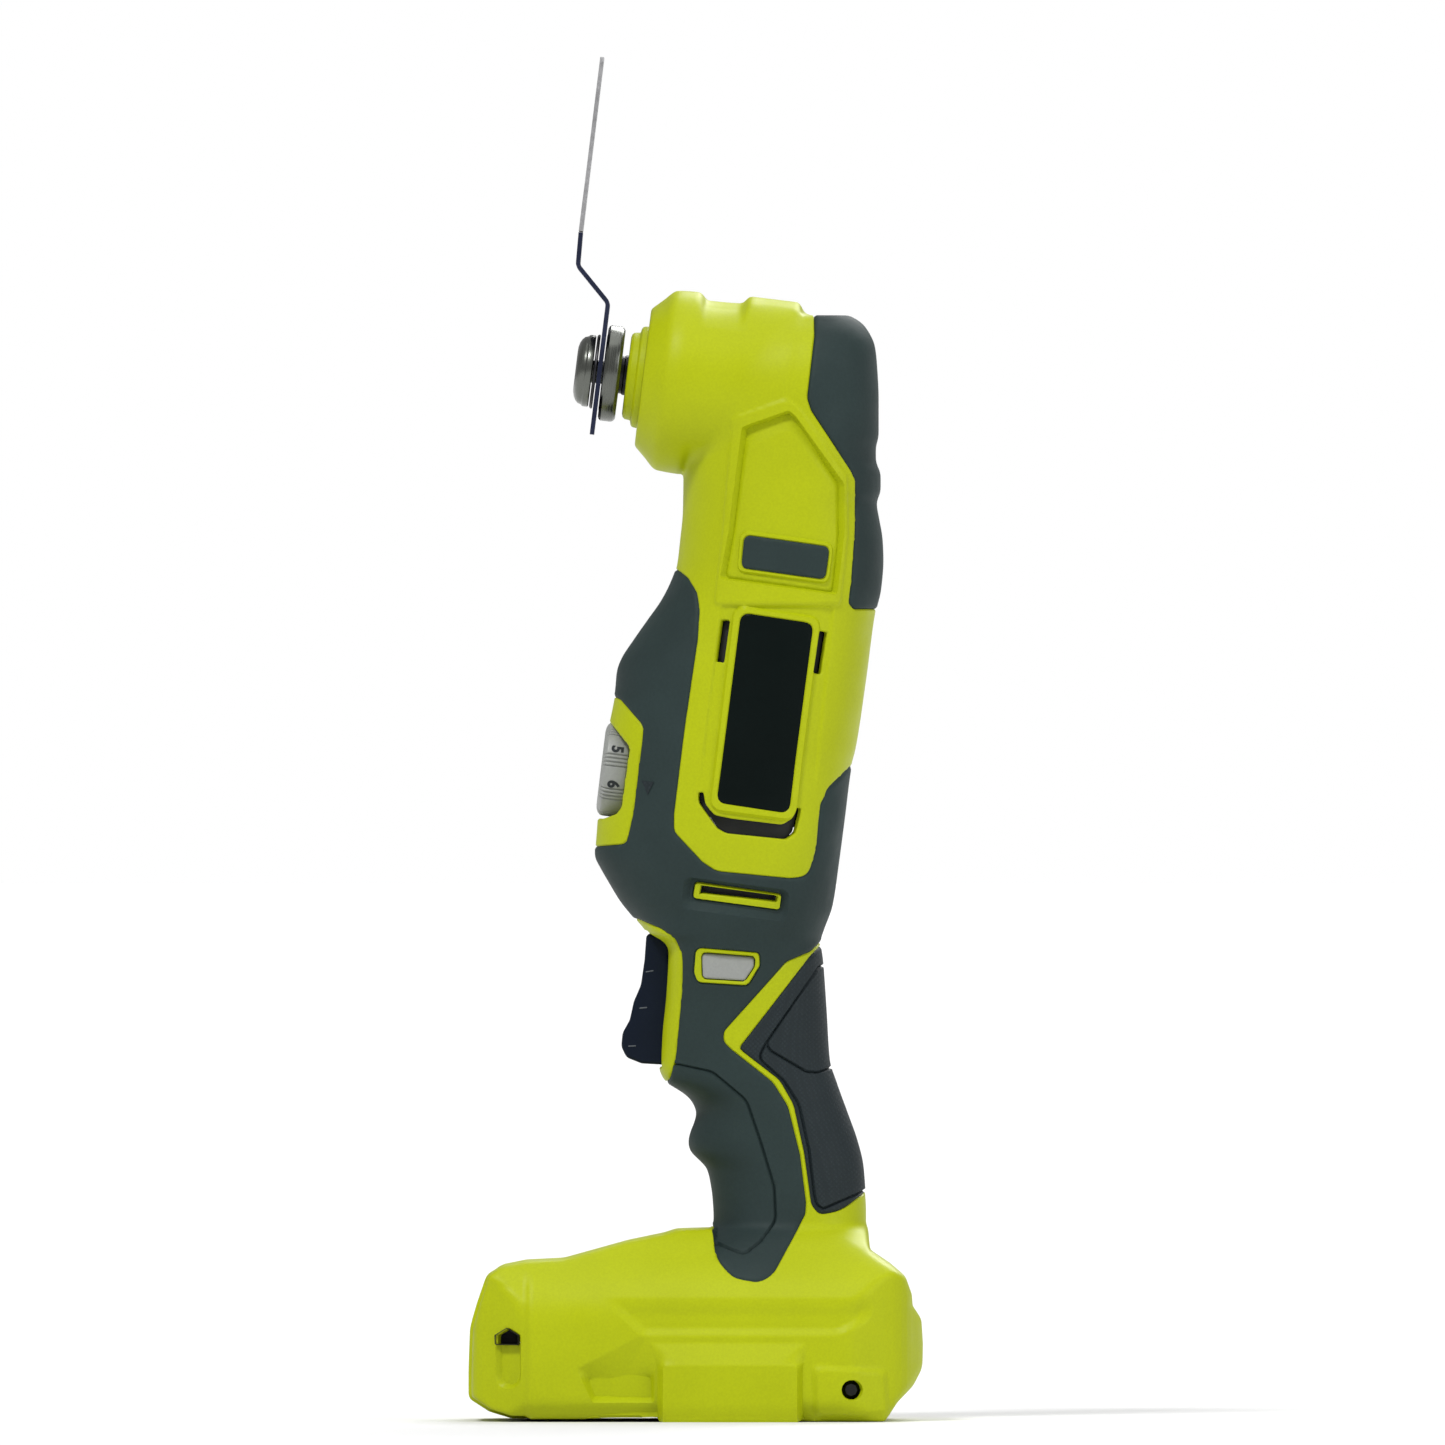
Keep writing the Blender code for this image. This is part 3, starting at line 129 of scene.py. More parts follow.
# Borders seen from the side: how far outside the outline edges follow it, and the outline as
# (x, z, corner radius). Some run past the body where it ends.
LINE, GROOVE, SOFT_EDGE = (0,), (-0.45, 0, 0.45), (-0.8, -0.3, 0, 0.3)
BORDERS = {
    "grip": (SOFT_EDGE, [
        (-30, 213.6, 0), (-5.25, 212.9, 3), (-2.2, 210.6, 4), (0.1, 206.8, 4), (0.75, 202.5, 6),
        (0.3, 195, 12), (-3, 172.5, 0), (-5.6, 151.5, 3), (-5.6, 147.2, 3), (1.5, 139.6, 4), (5, 137.3, 5),
        (23.5, 135.5, 4), (28, 136, 5), (29.9, 142, 4), (31.2, 154, 3), (33, 158, 3), (39, 163.8, 0),
        (60, 164, 0), (60, 119.5, 0), (31.3, 119.5, 0), (28.8, 117.2, 0), (22.6, 114.6, 4), (6.9, 97.2, 2.5),
        (6.9, 94.6, 2), (9, 92.6, 1.5), (19.2, 84.6, 6), (23, 78.6, 8), (26, 66.5, 8), (27.5, 54.5, 4),
        (27.3, 51.6, 2), (19.4, 37.2, 5), (16, 34.8, 5), (9.2, 36, 6), (5.2, 40.6, 6), (4.1, 48.9, 1),
        (-20, 49.6, 0), (-20, 84.6, 0), (-7, 84.4, 1.5), (-5.2, 91, 3), (-3.6, 108, 6), (-3.6, 116.5, 5),
        (-5.6, 120.6, 3), (-9, 122.9, 3), (-14.5, 125.1, 0), (-40, 125.1, 0), (-40, 142.2, 0),
        (-17.6, 144.1, 1.8), (-15.8, 152, 6), (-13.2, 173.4, 3), (-19.2, 180.2, 2), (-22, 181.4, 0),
        (-30, 181.4, 0),
    ]),
    "rear": (SOFT_EDGE, [
        (60, 118.9, 0), (31.5, 118.9, 0), (28.9, 116.4, 0), (10.6, 93, 1), (20.9, 85.1, 6), (24.4, 79, 8),
        (27, 67, 8), (28.8, 54, 3), (30.8, 51.5, 2), (36.2, 52.4, 12), (42.5, 57, 0), (60, 57, 0),
    ]),
    "bumper": (SOFT_EDGE, [
        (60, 290, 0), (29.2, 290, 0), (29.5, 271, 6), (27.7, 255.4, 2.5), (28.7, 252.2, 3), (38.8, 237.2, 3),
        (39.9, 234.6, 2.5), (39.8, 222.5, 10), (38.9, 210, 8), (38.2, 204.2, 1.2), (39.4, 202.6, 1),
        (60, 202.6, 0),
    ]),
    "texture": (GROOVE, [
        (60, 113.2, 0), (30.9, 113.6, 1), (17.4, 94.2, 2), (15.5, 90.6, 2), (21.9, 85, 5), (25.7, 79, 7),
        (28.2, 67.5, 8), (29.5, 56.5, 2), (30.1, 54, 1.5), (31.6, 52.9, 1), (43, 57.8, 0), (60, 60, 0),
    ]),
    "upper": (GROOVE, [
        (60, 113.2, 0), (30.9, 113.6, 1), (17.4, 94.2, 2), (18.6, 92.4, 0.5), (27.5, 87.2, 2), (30.4, 87, 3),
        (35, 88.6, 0), (60, 92, 0),
    ]),
    "groove": (GROOVE, [
        (-20, 89.6, 0), (-4.5, 89, 3), (4, 87.2, 5), (12.6, 80, 6), (16, 70, 8), (19.5, 58.5, 7),
        (19.9, 50, 4), (16, 44.8, 3), (11.9, 41.6, 3), (5.4, 44.3, 2), (-20, 45, 0),
    ]),
    "window": ((0, 0.5), [
        (-40, 175.4, 0), (-22.4, 175.2, 1), (-16.7, 168.3, 2), (-18.8, 153.4, 1.5), (-20, 151.6, 1.5),
        (-23.4, 150.4, 0), (-40, 150.2, 0),
    ]),
    "lock": ((0, 0.3), [
        (1.2, 117.2, 1.2), (14.9, 116.1, 1), (14.7, 113.4, 1.5), (12.2, 109.7, 1.2), (1.5, 110.4, 1.2),
    ]),
    "lock_frame": ((-0.3, 0, 0.35), [
        (-0.1, 118.2, 1.5), (15.8, 116.9, 1), (16, 113.8, 1.5), (12.9, 108.7, 1.5), (0.3, 109.5, 1.5),
        (-0.6, 112, 2),
    ]),
    "slot": ((0, 0.25), [(1, 133.6, 0.4), (20.8, 130.9, 0.4), (20.5, 129.2, 0.4), (0.5, 131.5, 0.4)]),
    "slot_frame": ((-0.3, 0, 0.3), [
        (-0.6, 134.5, 0.8), (21.9, 131.2, 0.8), (21.3, 127.1, 0.8), (-1.3, 130.2, 0.8),
    ]),
    "recess": (LINE, [(-2.9, 136, 2), (23.4, 132.6, 2), (22.6, 124.6, 2), (-3.8, 128, 2)]),
    "recess_floor": (LINE, [(-1.6, 135, 1.5), (22.4, 131.7, 1.5), (21.7, 126.4, 1.5), (-2.4, 129.6, 1.5)]),
    "rail": ((0, -0.8), [
        (8.8, 250.8, 1.5), (22.6, 255.6, 2), (26, 253.2, 2), (38, 236, 2), (38.2, 221, 6), (36.2, 203.4, 1),
        (4.2, 203.4, 1), (6.3, 221.6, 6),
    ]),
    "panel": ((0, -0.6), [
        (11.6, 248.2, 0.8), (23.2, 252.3, 0.8), (25, 250.7, 0.8), (36.8, 233.9, 2), (36.8, 221.2, 6),
        (35, 206.2, 0.8), (6.1, 210.2, 0.8), (8.2, 221.2, 6),
    ]),
    "panel_floor": (LINE, [
        (12.7, 243.4, 1), (23.3, 247.3, 1), (35, 232.9, 2), (35.3, 221, 6), (33.9, 207.5, 1), (7.3, 211.2, 1),
        (9.3, 221.4, 6),
    ]),
    "pad": ((-0.5, 0, 0.3), [(12, 221.2, 1.4), (33.4, 218.2, 1.4), (32.3, 210.1, 1.4), (11.2, 213, 1.4)]),
    "pad_frame": ((0, -0.5), [(10.7, 222.6, 2), (34.8, 219.2, 2), (33.4, 208.8, 2), (9.8, 211.9, 2)]),
    "field": ((0, -0.6), [(6, 203.6, 1), (34.6, 203.6, 1), (28.4, 141, 0), (-1.6, 141, 0)]),
    "label": ((-0.3, 0, 0.3), [(11.25, 201.8, 2), (29.3, 199.1, 2), (23, 151.7, 2), (5.2, 154.4, 2)]),
    "label_frame": ((-0.7, 0), [(9.2, 204, 3), (31.6, 200.8, 3), (24.9, 149.4, 3), (3, 152.3, 3)]),
    "vent_front": ((0, 0.25), [(6.1, 200.2, 0.3), (8.3, 200, 0.3), (6.9, 189.4, 0.3), (4.8, 189.6, 0.3)]),
    "vent_rear": ((0, 0.25), [(31, 197.3, 0.3), (33.1, 196.9, 0.3), (31.4, 186.3, 0.3), (29.3, 186.8, 0.3)]),
    "curved": ((0, 0.3), [
        (0.4, 157, 0.4), (1.8, 157, 0.4), (2.3, 154, 2), (4.6, 151.3, 2), (9, 150.4, 3), (21.5, 148.9, 2),
        (23.9, 150.3, 2), (25.2, 153.2, 0.4), (26.4, 153, 0.4), (25, 146.8, 2), (22.8, 145.1, 2),
        (7.4, 146.7, 3), (5.1, 148, 2), (0.5, 154.4, 2),
    ]),
    "latch": (LINE, [
        (-9.7, -4, 0), (-9.6, 13.5, 0.8), (-11.7, 19.9, 0.8), (27.9, 19.9, 0.8), (26.6, 13.5, 0.8),
        (26.6, -4, 0),
    ]),
    "latch_face": (LINE, [(-8.3, -4, 0), (-8.2, 14, 0.6), (25.2, 14, 0.6), (25.2, -4, 0)]),
    "facet": (LINE, [
        (-29.8, 13.2, 0.5), (-11.6, 22.8, 1), (-10.4, 14, 0.5), (-10.4, 4.8, 0.5), (-25.8, 4.8, 0.5),
    ]),
    "facet_deep": (LINE, [(-26.9, 10.9, 0.4), (-11.5, 10.9, 0.4), (-11.3, 6.3, 0.4), (-25.2, 6.3, 0.4)]),
    "shelf": (LINE, [(-14, 21.6, 1), (36, 21.6, 3), (44, 25.5, 4), (46, 60, 0), (-40, 60, 0), (-26, 33, 6)]),
    "shelf_back": (LINE, [
        (-12.6, 23.4, 1), (35, 23.4, 3), (41.4, 26.6, 4), (43, 60, 0), (-36, 60, 0), (-24, 34.5, 6),
    ]),
    "block": (LINE, [(28.7, 14.6, 0.8), (47.6, 13.4, 1.2), (48.6, 1.2, 1), (29.2, 1.2, 1)]),
    "block_face": (LINE, [(30.2, 12.9, 0.8), (46, 11.9, 1), (46.8, 2.6, 1), (30.7, 2.6, 1)]),
    "channel": (LINE, [(-50.4, 20.4, 1.5), (-44, 20.4, 1.5), (-44, 8.2, 3), (-50.4, 8.2, 3)]),
    "channel_floor": (LINE, [(-49.4, 19.6, 1), (-45, 19.6, 1), (-45, 9.4, 2.1), (-49.4, 9.4, 2.1)]),
    "nose_hole": ((0, 0.3), [
        (-50, 19.4, 0.3), (-50, 21.6, 0.3), (-47.2, 23.3, 0.5), (-44.4, 21.6, 0.3), (-44.4, 19.4, 0.3),
    ]),
}


def rounded(outline, per_corner=4):
    """An outline's points, with each corner that has a radius turned into an arc."""
    points = []
    count = len(outline)
    for k, (x, z, radius) in enumerate(outline):
        here = Vector((x, z))
        before = Vector(outline[k - 1][:2]) - here
        after = Vector(outline[(k + 1) % count][:2]) - here
        half_angle = before.angle(after) / 2
        reach = min(before.length, after.length) * 0.48
        if radius <= 0 or half_angle > 1.54:
            points.append(here)
            continue
        back_off = min(radius / math.tan(half_angle), reach)
        radius = back_off * math.tan(half_angle)
        inward = (before.normalized() + after.normalized()).normalized()
        centre = here + inward * (radius / math.sin(half_angle))
        start = here + before.normalized() * back_off - centre
        turn = start.angle_signed(here + after.normalized() * back_off - centre)
        for step in range(per_corner + 1):
            share = -turn * step / per_corner
            cos, sin = math.cos(share), math.sin(share)
            points.append(centre + Vector((start.x * cos - start.y * sin, start.x * sin + start.y * cos)))
    return points


def border(outline, x, z):
    """Signed distance from an outline, negative inside, and its direction. Far off it is only rough."""
    line = np.array([tuple(point) for point in rounded(outline)])
    ends = np.roll(line, -1, axis=0)
    whole = np.stack([x, z], 1)
    past = np.maximum(line.min(0) - whole, whole - line.max(0)).max(1)
    close = past < 6
    at = whole[close]
    best = np.full(len(at), 1e9)
    nearest = np.zeros((len(at), 2))
    inside = np.zeros(len(at), bool)
    for a, b in zip(line, ends):
        along = b - a
        t = np.clip(((at - a) @ along) / max(along @ along, 1e-12), 0, 1)
        foot = a + t[:, None] * along
        apart = ((at - foot) ** 2).sum(1)
        closer = apart < best
        best[closer] = apart[closer]
        nearest[closer] = foot[closer]
        if a[1] != b[1]:
            spans = (a[1] > at[:, 1]) != (b[1] > at[:, 1])
            inside ^= spans & (at[:, 0] < a[0] + (at[:, 1] - a[1]) / (b[1] - a[1]) * along[0])
    near = np.sqrt(best) * np.where(inside, -1, 1)
    safe = np.where(np.abs(near) < 1e-6, 1e-6, near)
    distance, away = past.copy(), np.zeros((len(x), 2))
    distance[close], away[close] = near, (at - nearest) / safe[:, None]
    return distance, away


def charted(outline, low, high, step=0.25):
    """A quick signed distance from an outline, read off a fine grid."""
    counts = [int((high[k] - low[k]) / step) + 1 for k in range(2)]
    u, v = np.meshgrid(*[low[k] + step * np.arange(counts[k]) for k in range(2)], indexing="ij")
    chart = border(outline, u.ravel(), v.ravel())[0].reshape(counts)

    def read(a, b):
        s = np.clip((a - low[0]) / step, 0, counts[0] - 1.001)
        t = np.clip((b - low[1]) / step, 0, counts[1] - 1.001)
        i, j = s.astype(int), t.astype(int)
        s, t = s - i, t - j
        return (
            chart[i, j] * (1 - s) * (1 - t) + chart[i + 1, j] * s * (1 - t)
            + chart[i, j + 1] * (1 - s) * t + chart[i + 1, j + 1] * s * t
        )

    return read


def dense(rows, column, blur=0.7, low=-4.0, high=282.0, step=0.1):
    """A table's column at even heights, on a curve that never overshoots, with its corners softened."""
    z = np.array([row[0] for row in rows], float)
    x = np.array([row[column] for row in rows], float)
    rise = np.diff(x) / np.diff(z)
    slope = np.zeros(len(z))
    before, after = rise[:-1], rise[1:]
    same = before * after > 0
    slope[1:-1][same] = 2 * before[same] * after[same] / (before + after)[same]
    slope[0], slope[-1] = rise[0], rise[-1]
    level = np.arange(low, high, step)
    inside = np.clip(level, z[0], z[-1])
    i = np.clip(np.searchsorted(z, inside, side="right") - 1, 0, len(z) - 2)
    span = z[i + 1] - z[i]
    t = (inside - z[i]) / span
    value = (
        (2 * t**3 - 3 * t**2 + 1) * x[i]
        + (t**3 - 2 * t**2 + t) * span * slope[i]
        + (3 * t**2 - 2 * t**3) * x[i + 1]
        + (t**3 - t**2) * span * slope[i + 1]
    )
    reach = int(4 * blur / step)
    kernel = np.exp(-0.5 * (np.arange(-reach, reach + 1) * step / blur) ** 2)
    padded = np.pad(value, reach, mode="edge")
    return level, np.convolve(padded, kernel / kernel.sum(), mode="valid")


foot_side = charted(FOOT_SIDE, (-60, -6), (62, 62))
foot_plan = charted(FOOT_PLAN, (-60, -42), (62, 42))
TABLES = {
    "front": dense(FRONT, 1), "back": dense(BACK, 1), "widest": dense(WIDEST_X, 1, 3),
    "half": dense(HALF_WIDTH, 1, 1.5), "power": dense(FRONT_POWER, 1, 2),
    "foot_half": dense(FOOT_HALF, 1, 0.7),
    "head": dense(HEAD, 1, 0.4, -60.0, 20.0), "head_side": dense(HEAD_SIDE, 1, 0.5, -60.0, 20.0),
}


def table(name, level):
    return np.interp(level, *TABLES[name])


def squared_oval(x, y, front, widest, back, half, front_power, back_power):
    """Signed distance, close to the surface, from a level closed curve with rounded corners."""
    ahead = x < widest
    reach = np.where(ahead, widest - front, back - widest)
    power = np.where(ahead, front_power, back_power)
    across = np.abs(y) / half
    along = np.abs(x - widest) / reach
    share = np.maximum(along**power + across**power, 1e-9) ** (1 / power)
    out = np.sqrt((x - widest) ** 2 + y**2) + 1e-6
    return out - out / share


def merged(a, b, soft):
    """The union of two forms with a fillet."""
    h = np.clip(0.5 + 0.5 * (b - a) / soft, 0, 1)
    return b + (a - b) * h - soft * h * (1 - h)


def carved(a, b, soft):
    """What two forms share, with a softened edge."""
    return -merged(-a, -b, soft)



def in_barrel(p, q):
    """World x and z of a point in the barrel's frame."""
    return AXES_X + p * COS + q * SIN, AXES_Z - p * SIN + q * COS


def to_barrel(x, z):
    return (x - AXES_X) * COS - (z - AXES_Z) * SIN, (x - AXES_X) * SIN + (z - AXES_Z) * COS


def form(x, y, z):
    """How far a point stands outside the tool's outer surface, battery socket included."""
    oval = [table(name, z) for name in ("front", "widest", "back", "half", "power")]
    body = squared_oval(x, y, *oval, BACK_POWER)
    skirt = body - FLARE * (FOOT_TOP - z) - 9 * np.maximum(0, 5 - x)
    body = carved(body, z - BODY_TOP, 1.2)
    body = carved(body, 30 - z, 0.5)
    p, q = to_barrel(x, z)
    radius = np.sqrt(y**2 + q**2) + 1e-6
    upright = np.clip((np.abs(q) / radius - 0.62) / 0.3, 0, 1)
    head = radius - (table("head_side", p) * (1 - upright) + table("head", p) * upright)
    head = carved(carved(head, HEAD[0][0] - p, 0.7), p - HEAD[-1][0], 1)
    foot = carved(foot_side(x, z), foot_plan(x, y), 1.6)
    foot = carved(foot, (np.abs(y) - table("foot_half", z)) * 0.85, 1.2)
    foot = carved(carved(foot, z - FOOT_TOP, 1), skirt * 0.5, 1.5)
    foot = np.maximum(foot, -z)
    whole = merged(merged(body, head, 2.2), foot, 1.8)
    front, back, half, top = BATTERY_BAY
    bay = squared_oval(x, y, front, 0 * x, -front + 0 * x, half, BAY_POWER, BAY_POWER)
    bay = np.maximum(np.maximum(bay, z - top), x - back)
    front, back, half, top = STEM_POCKET
    stem = np.maximum(np.maximum(front - x, x - back), np.maximum(np.abs(y) - half, z - top))
    return np.maximum(whole, -np.minimum(bay, stem))


def slopes(points):
    """The form's gradient at each point."""
    steps = 0.04 * np.eye(3)
    rise = [form(*(points + step).T) - form(*(points - step).T) for step in steps]
    return np.stack(rise, 1) / (2 * steps[0, 0])


def settled(points, rounds=2):
    """The points moved onto the form's surface."""
    for _ in range(rounds):
        gradient = slopes(points)
        value = form(*points.T)
        move = value[:, None] * gradient / np.maximum((gradient**2).sum(1), 0.2)[:, None]
        length = np.maximum(np.linalg.norm(move, axis=1), 1e-9)
        points = points - move * np.minimum(1, 0.6 / length)[:, None]
    return points


def gathered(index, values, count):
    """For each number below count, the sum of the values that it indexes."""
    return np.stack([np.bincount(index, weights=values[:, d], minlength=count) for d in range(3)], 1)


def surface():
    """Points and triangles of the form's left side and a little beyond the parting plane."""
    low = np.array([-58.3, -40.1, -1.13])
    size = ((np.array([58.5, 2.2, 285.5]) - low) / CELL).astype(int) + 1
    axes = [low[k] + CELL * np.arange(size[k]) for k in range(3)]
    field = np.empty(size)
    for k in range(0, size[2], 32):
        field[:, :, k:k + 32] = form(*np.meshgrid(axes[0], axes[1], axes[2][k:k + 32], indexing="ij"))
    solid = field < 0
    cells = size - 1
    total = np.zeros((cells.prod(), 3))
    count = np.zeros(cells.prod())
    steps = np.eye(3, dtype=int)
    rings = []
    for axis in range(3):
        where = np.stack(np.nonzero(np.diff(solid, axis=axis)), 1)
        a, b = field[tuple(where.T)], field[tuple((where + steps[axis]).T)]
        point = low + CELL * where.astype(float)
        point[:, axis] += CELL * a / (a - b)
        one, two = steps[axis - 2], steps[axis - 1]
        corners = []
        for cell in (where, where - one, where - one - two, where - two):
            fits = ((cell >= 0) & (cell < cells)).all(1)
            index = np.where(fits, np.ravel_multi_index(np.clip(cell, 0, cells - 1).T, cells), -1)
            corners.append(index)
            count += np.bincount(index[fits], minlength=len(count))
            total += gathered(index[fits], point[fits], len(count))
        corners = np.stack(corners, 1)
        keep = (corners >= 0).all(1)
        leaving = solid[tuple(where[keep].T)]
        rings.append(np.where(leaving[:, None], corners[keep], corners[keep, ::-1]))
    used = np.nonzero(count)[0]
    renumber = np.full(len(count), -1)
    renumber[used] = np.arange(len(used))
    rings = renumber[np.concatenate(rings)]
    points = settled(total[used] / count[used][:, None], 3)
    starts, ends = np.concatenate([rings[:, [k, (k + 1) % 4]] for k in range(4)]).T
    degree = np.bincount(starts, minlength=len(points)) + np.bincount(ends, minlength=len(points))
    for _ in range(2):
        near = gathered(starts, points[ends], len(points)) + gathered(ends, points[starts], len(points))
        points = settled(points + 0.5 * (near / np.maximum(degree, 1)[:, None] - points), 2)
    across = [np.linalg.norm(points[rings[:, k]] - points[rings[:, k + 2]], axis=1) for k in range(2)]
    rings = np.where((across[0] < across[1])[:, None], rings, np.roll(rings, -1, axis=1))
    return points, np.concatenate([rings[:, [0, 1, 2]], rings[:, [0, 2, 3]]])


# ---------------------------------------------------------------- borders


def divided(points, faces, value):
    """Splits the triangles that cross value 0, so that a line of edges follows it."""
    side = np.sign(value).astype(int)
    corners = side[faces]
    crossed = (corners.min(1) < 0) & (corners.max(1) > 0)
    if not crossed.any():
        return points, faces
    plain, split = faces[~crossed], faces[crossed]
    edges = np.sort(np.concatenate([split[:, [0, 1]], split[:, [1, 2]], split[:, [2, 0]]]), axis=1)
    edges = edges[side[edges[:, 0]] * side[edges[:, 1]] < 0]
    edges = np.unique(edges, axis=0)
    a, b = edges.T
    t = value[a] / (value[a] - value[b])
    fresh = points[a] + t[:, None] * (points[b] - points[a])
    key = a.astype(np.int64) * len(points) + b
    order = np.argsort(key)
    key = key[order]

    def middle(u, v):
        code = np.minimum(u, v).astype(np.int64) * len(points) + np.maximum(u, v)
        return order[np.searchsorted(key, code)] + len(points)

    made = [plain]
    s = side[split]
    touching = (s == 0).any(1)
    part, sign = split[touching], s[touching]
    turn = np.argmax(sign == 0, axis=1)
    rows = np.arange(len(part))
    zero, first, second = (part[rows, (turn + k) % 3] for k in range(3))
    cut = middle(first, second)
    made += [np.stack([zero, first, cut], 1), np.stack([zero, cut, second], 1)]
    part, sign = split[~touching], s[~touching]
    lone = np.where(sign.sum(1) > 0, -1, 1)
    turn = np.argmax(sign == lone[:, None], axis=1)
    rows = np.arange(len(part))
    apex, first, second = (part[rows, (turn + k) % 3] for k in range(3))
    one, two = middle(apex, first), middle(apex, second)
    made += [np.stack(three, 1) for three in ([apex, one, two], [one, first, second], [one, second, two])]
    return np.concatenate([points, fresh]), np.concatenate(made)


def follow(points, faces, outline, level):
    """Runs a line of edges along an outline, level millimetres outside it, on the outer face."""
    distance, away = border(outline, points[:, 0], points[:, 2])
    value = distance - level
    value = np.where(outer_face(points), value, np.where(value < 0, -9, 9))
    close = (np.abs(value) < 0.2 * CELL) & (points[:, 1] < -0.4)
    near = points.copy()
    near[close, 0] -= away[close, 0] * value[close]
    near[close, 2] -= away[close, 1] * value[close]
    near[close] = settled(near[close], 2)
    value = np.where(close, 0, value)
    return divided(near, faces, value)


def circle(x, z, radius, count=14):
    turns = [2 * math.pi * k / count for k in range(count)]
    return [(x + radius * math.cos(a), z + radius * math.sin(a), 0) for a in turns]


SCREWS.append(in_barrel(*HEAD_SCREW))
WELLS = {f"well_{k}": circle(x, z, WELL_R) for k, (x, z) in enumerate(SCREWS)}
OUTLINES = {name: outline for name, (levels, outline) in BORDERS.items()} | WELLS


def outer_face(points):
    """Where the surface is the tool's outside, not the battery socket."""
    x, y, z = points.T
    front, back, half, ceiling = BATTERY_BAY
    bay = (z < ceiling + 0.6) | (np.abs(y) < STEM_POCKET[2] + 0.5)
    bay &= (x > front - 0.5) & (x < back + 0.6) & (np.abs(y) < half + 0.4) & (z < STEM_POCKET[3] + 0.5)
    return ~bay


def past_slot(points):
    """How far points stand outside the trigger's slot. Negative inside."""
    x, y, z = points.T
    back, low, high, half = TRIGGER_SLOT
    return np.max([-y - half, z - high, low - z, x - back], axis=0)


points, faces = surface()
off_seam = points[:, 1] + SEAM
points, faces = divided(points, faces, np.where(np.abs(off_seam) < 0.008, 0, off_seam))
points, faces = divided(points, faces, points[:, 1] + SEAM + 0.4)
faces = faces[points[faces][:, :, 1].mean(1) < -SEAM]
for name, outline in OUTLINES.items():
    for level in BORDERS.get(name, (LINE,))[0]:
        points, faces = follow(points, faces, outline, level)
for level in (0.0, 0.5):
    mouth = past_slot(points) - level
    points, faces = divided(points, faces, np.where(np.abs(mouth) < 0.05, 0, mouth))

normals = slopes(points)
normals /= np.maximum(np.linalg.norm(normals, axis=1), 1e-9)[:, None]
outside = outer_face(points)
X, Y, Z = points.T
FAR = {name: np.where(outside, border(outline, X, Z)[0], 30.0) for name, outline in OUTLINES.items()}
FAR.update(mouth=past_slot(points), seam=np.abs(Y) - SEAM)

middles = points[faces].mean(1)
is_out = outer_face(middles)


def within(*names):
    """The triangles inside any of these outlines."""
    inside = [border(OUTLINES[name], middles[:, 0], middles[:, 2])[0] < 0 for name in names]
    return np.any(inside, axis=0) & is_out


def ramp(value, run=1.0):
    """0 up to value 0, 1 from value run, straight between them."""
    return np.clip(value / run, 0, 1)


def sunk(name, run):
    """0 outside a border, and 1 from run millimetres inside it."""
    return ramp(-FAR[name], run)


def sloped(outer, inner):
    """0 outside the outer border, 1 inside the inner one, and straight between them."""
    run_in, run_out = np.maximum(0, -FAR[outer]), np.maximum(0, FAR[inner])
    return run_in / np.maximum(run_in + run_out, 1e-6)


def groove(name):
    return -0.75 * ramp(1 - np.abs(FAR[name]) / 0.45) ** 0.7


def edge(drop, run, *names):
    """Rounded edges: the surface falls by drop at each border, and is level run away from it."""
    return sum(-drop * ramp(1 - np.abs(FAR[name]) / run) ** 2 for name in names)


# ---------------------------------------------------------------- the surface's relief

# Below the latch's middle the foot narrows, and the latch doesn't
below_latch = np.clip(36.4 - table("foot_half", Z), 0, 4) * (Z < 8)
relief = sum((
    0.55 * sunk("rail", 0.8),
    -(1.4 + 0.8 * (1 - sloped("panel", "panel_floor"))) * sunk("panel", 0.6),
    0.7 * sunk("pad_frame", 0.5),
    -0.5 * sunk("field", 0.6) * ramp(Z - 156, 10),
    0.9 * sunk("label_frame", 0.7),
    -1.5 * sloped("recess", "recess_floor"),
    (2.35 + below_latch) * sloped("latch", "latch_face") * (Z < 44),
    -0.8 * ramp(-41.7 - X, 0.5) * ramp(38 - Z, 4) * (np.abs(Y) > 20),
    -2.2 * sloped("facet", "facet_deep"),
    0.8 * sloped("block", "block_face") * (X < 49),
    -1.3 * sloped("shelf", "shelf_back") * ramp(31 - Z, 4),
    -1.4 * sloped("channel", "channel_floor"),
    edge(0.3, 0.4, "seam") + edge(0.4, 0.5, "mouth") + edge(0.35, 0.5, "window"),
))

nose_hole = within("nose_hole")
holes = within("window", "lock", "nose_hole") | (past_slot(middles) < 0)
vents = within("slot", "vent_front", "vent_rear", "curved")
pads, labels, bumpers, rears = within("pad"), within("label"), within("bumper"), within("rear")
grips = within("grip") & ~within("lock_frame", "slot_frame") & ~rears
limes = ~(holes | vents | pads | labels | bumpers | rears | grips)

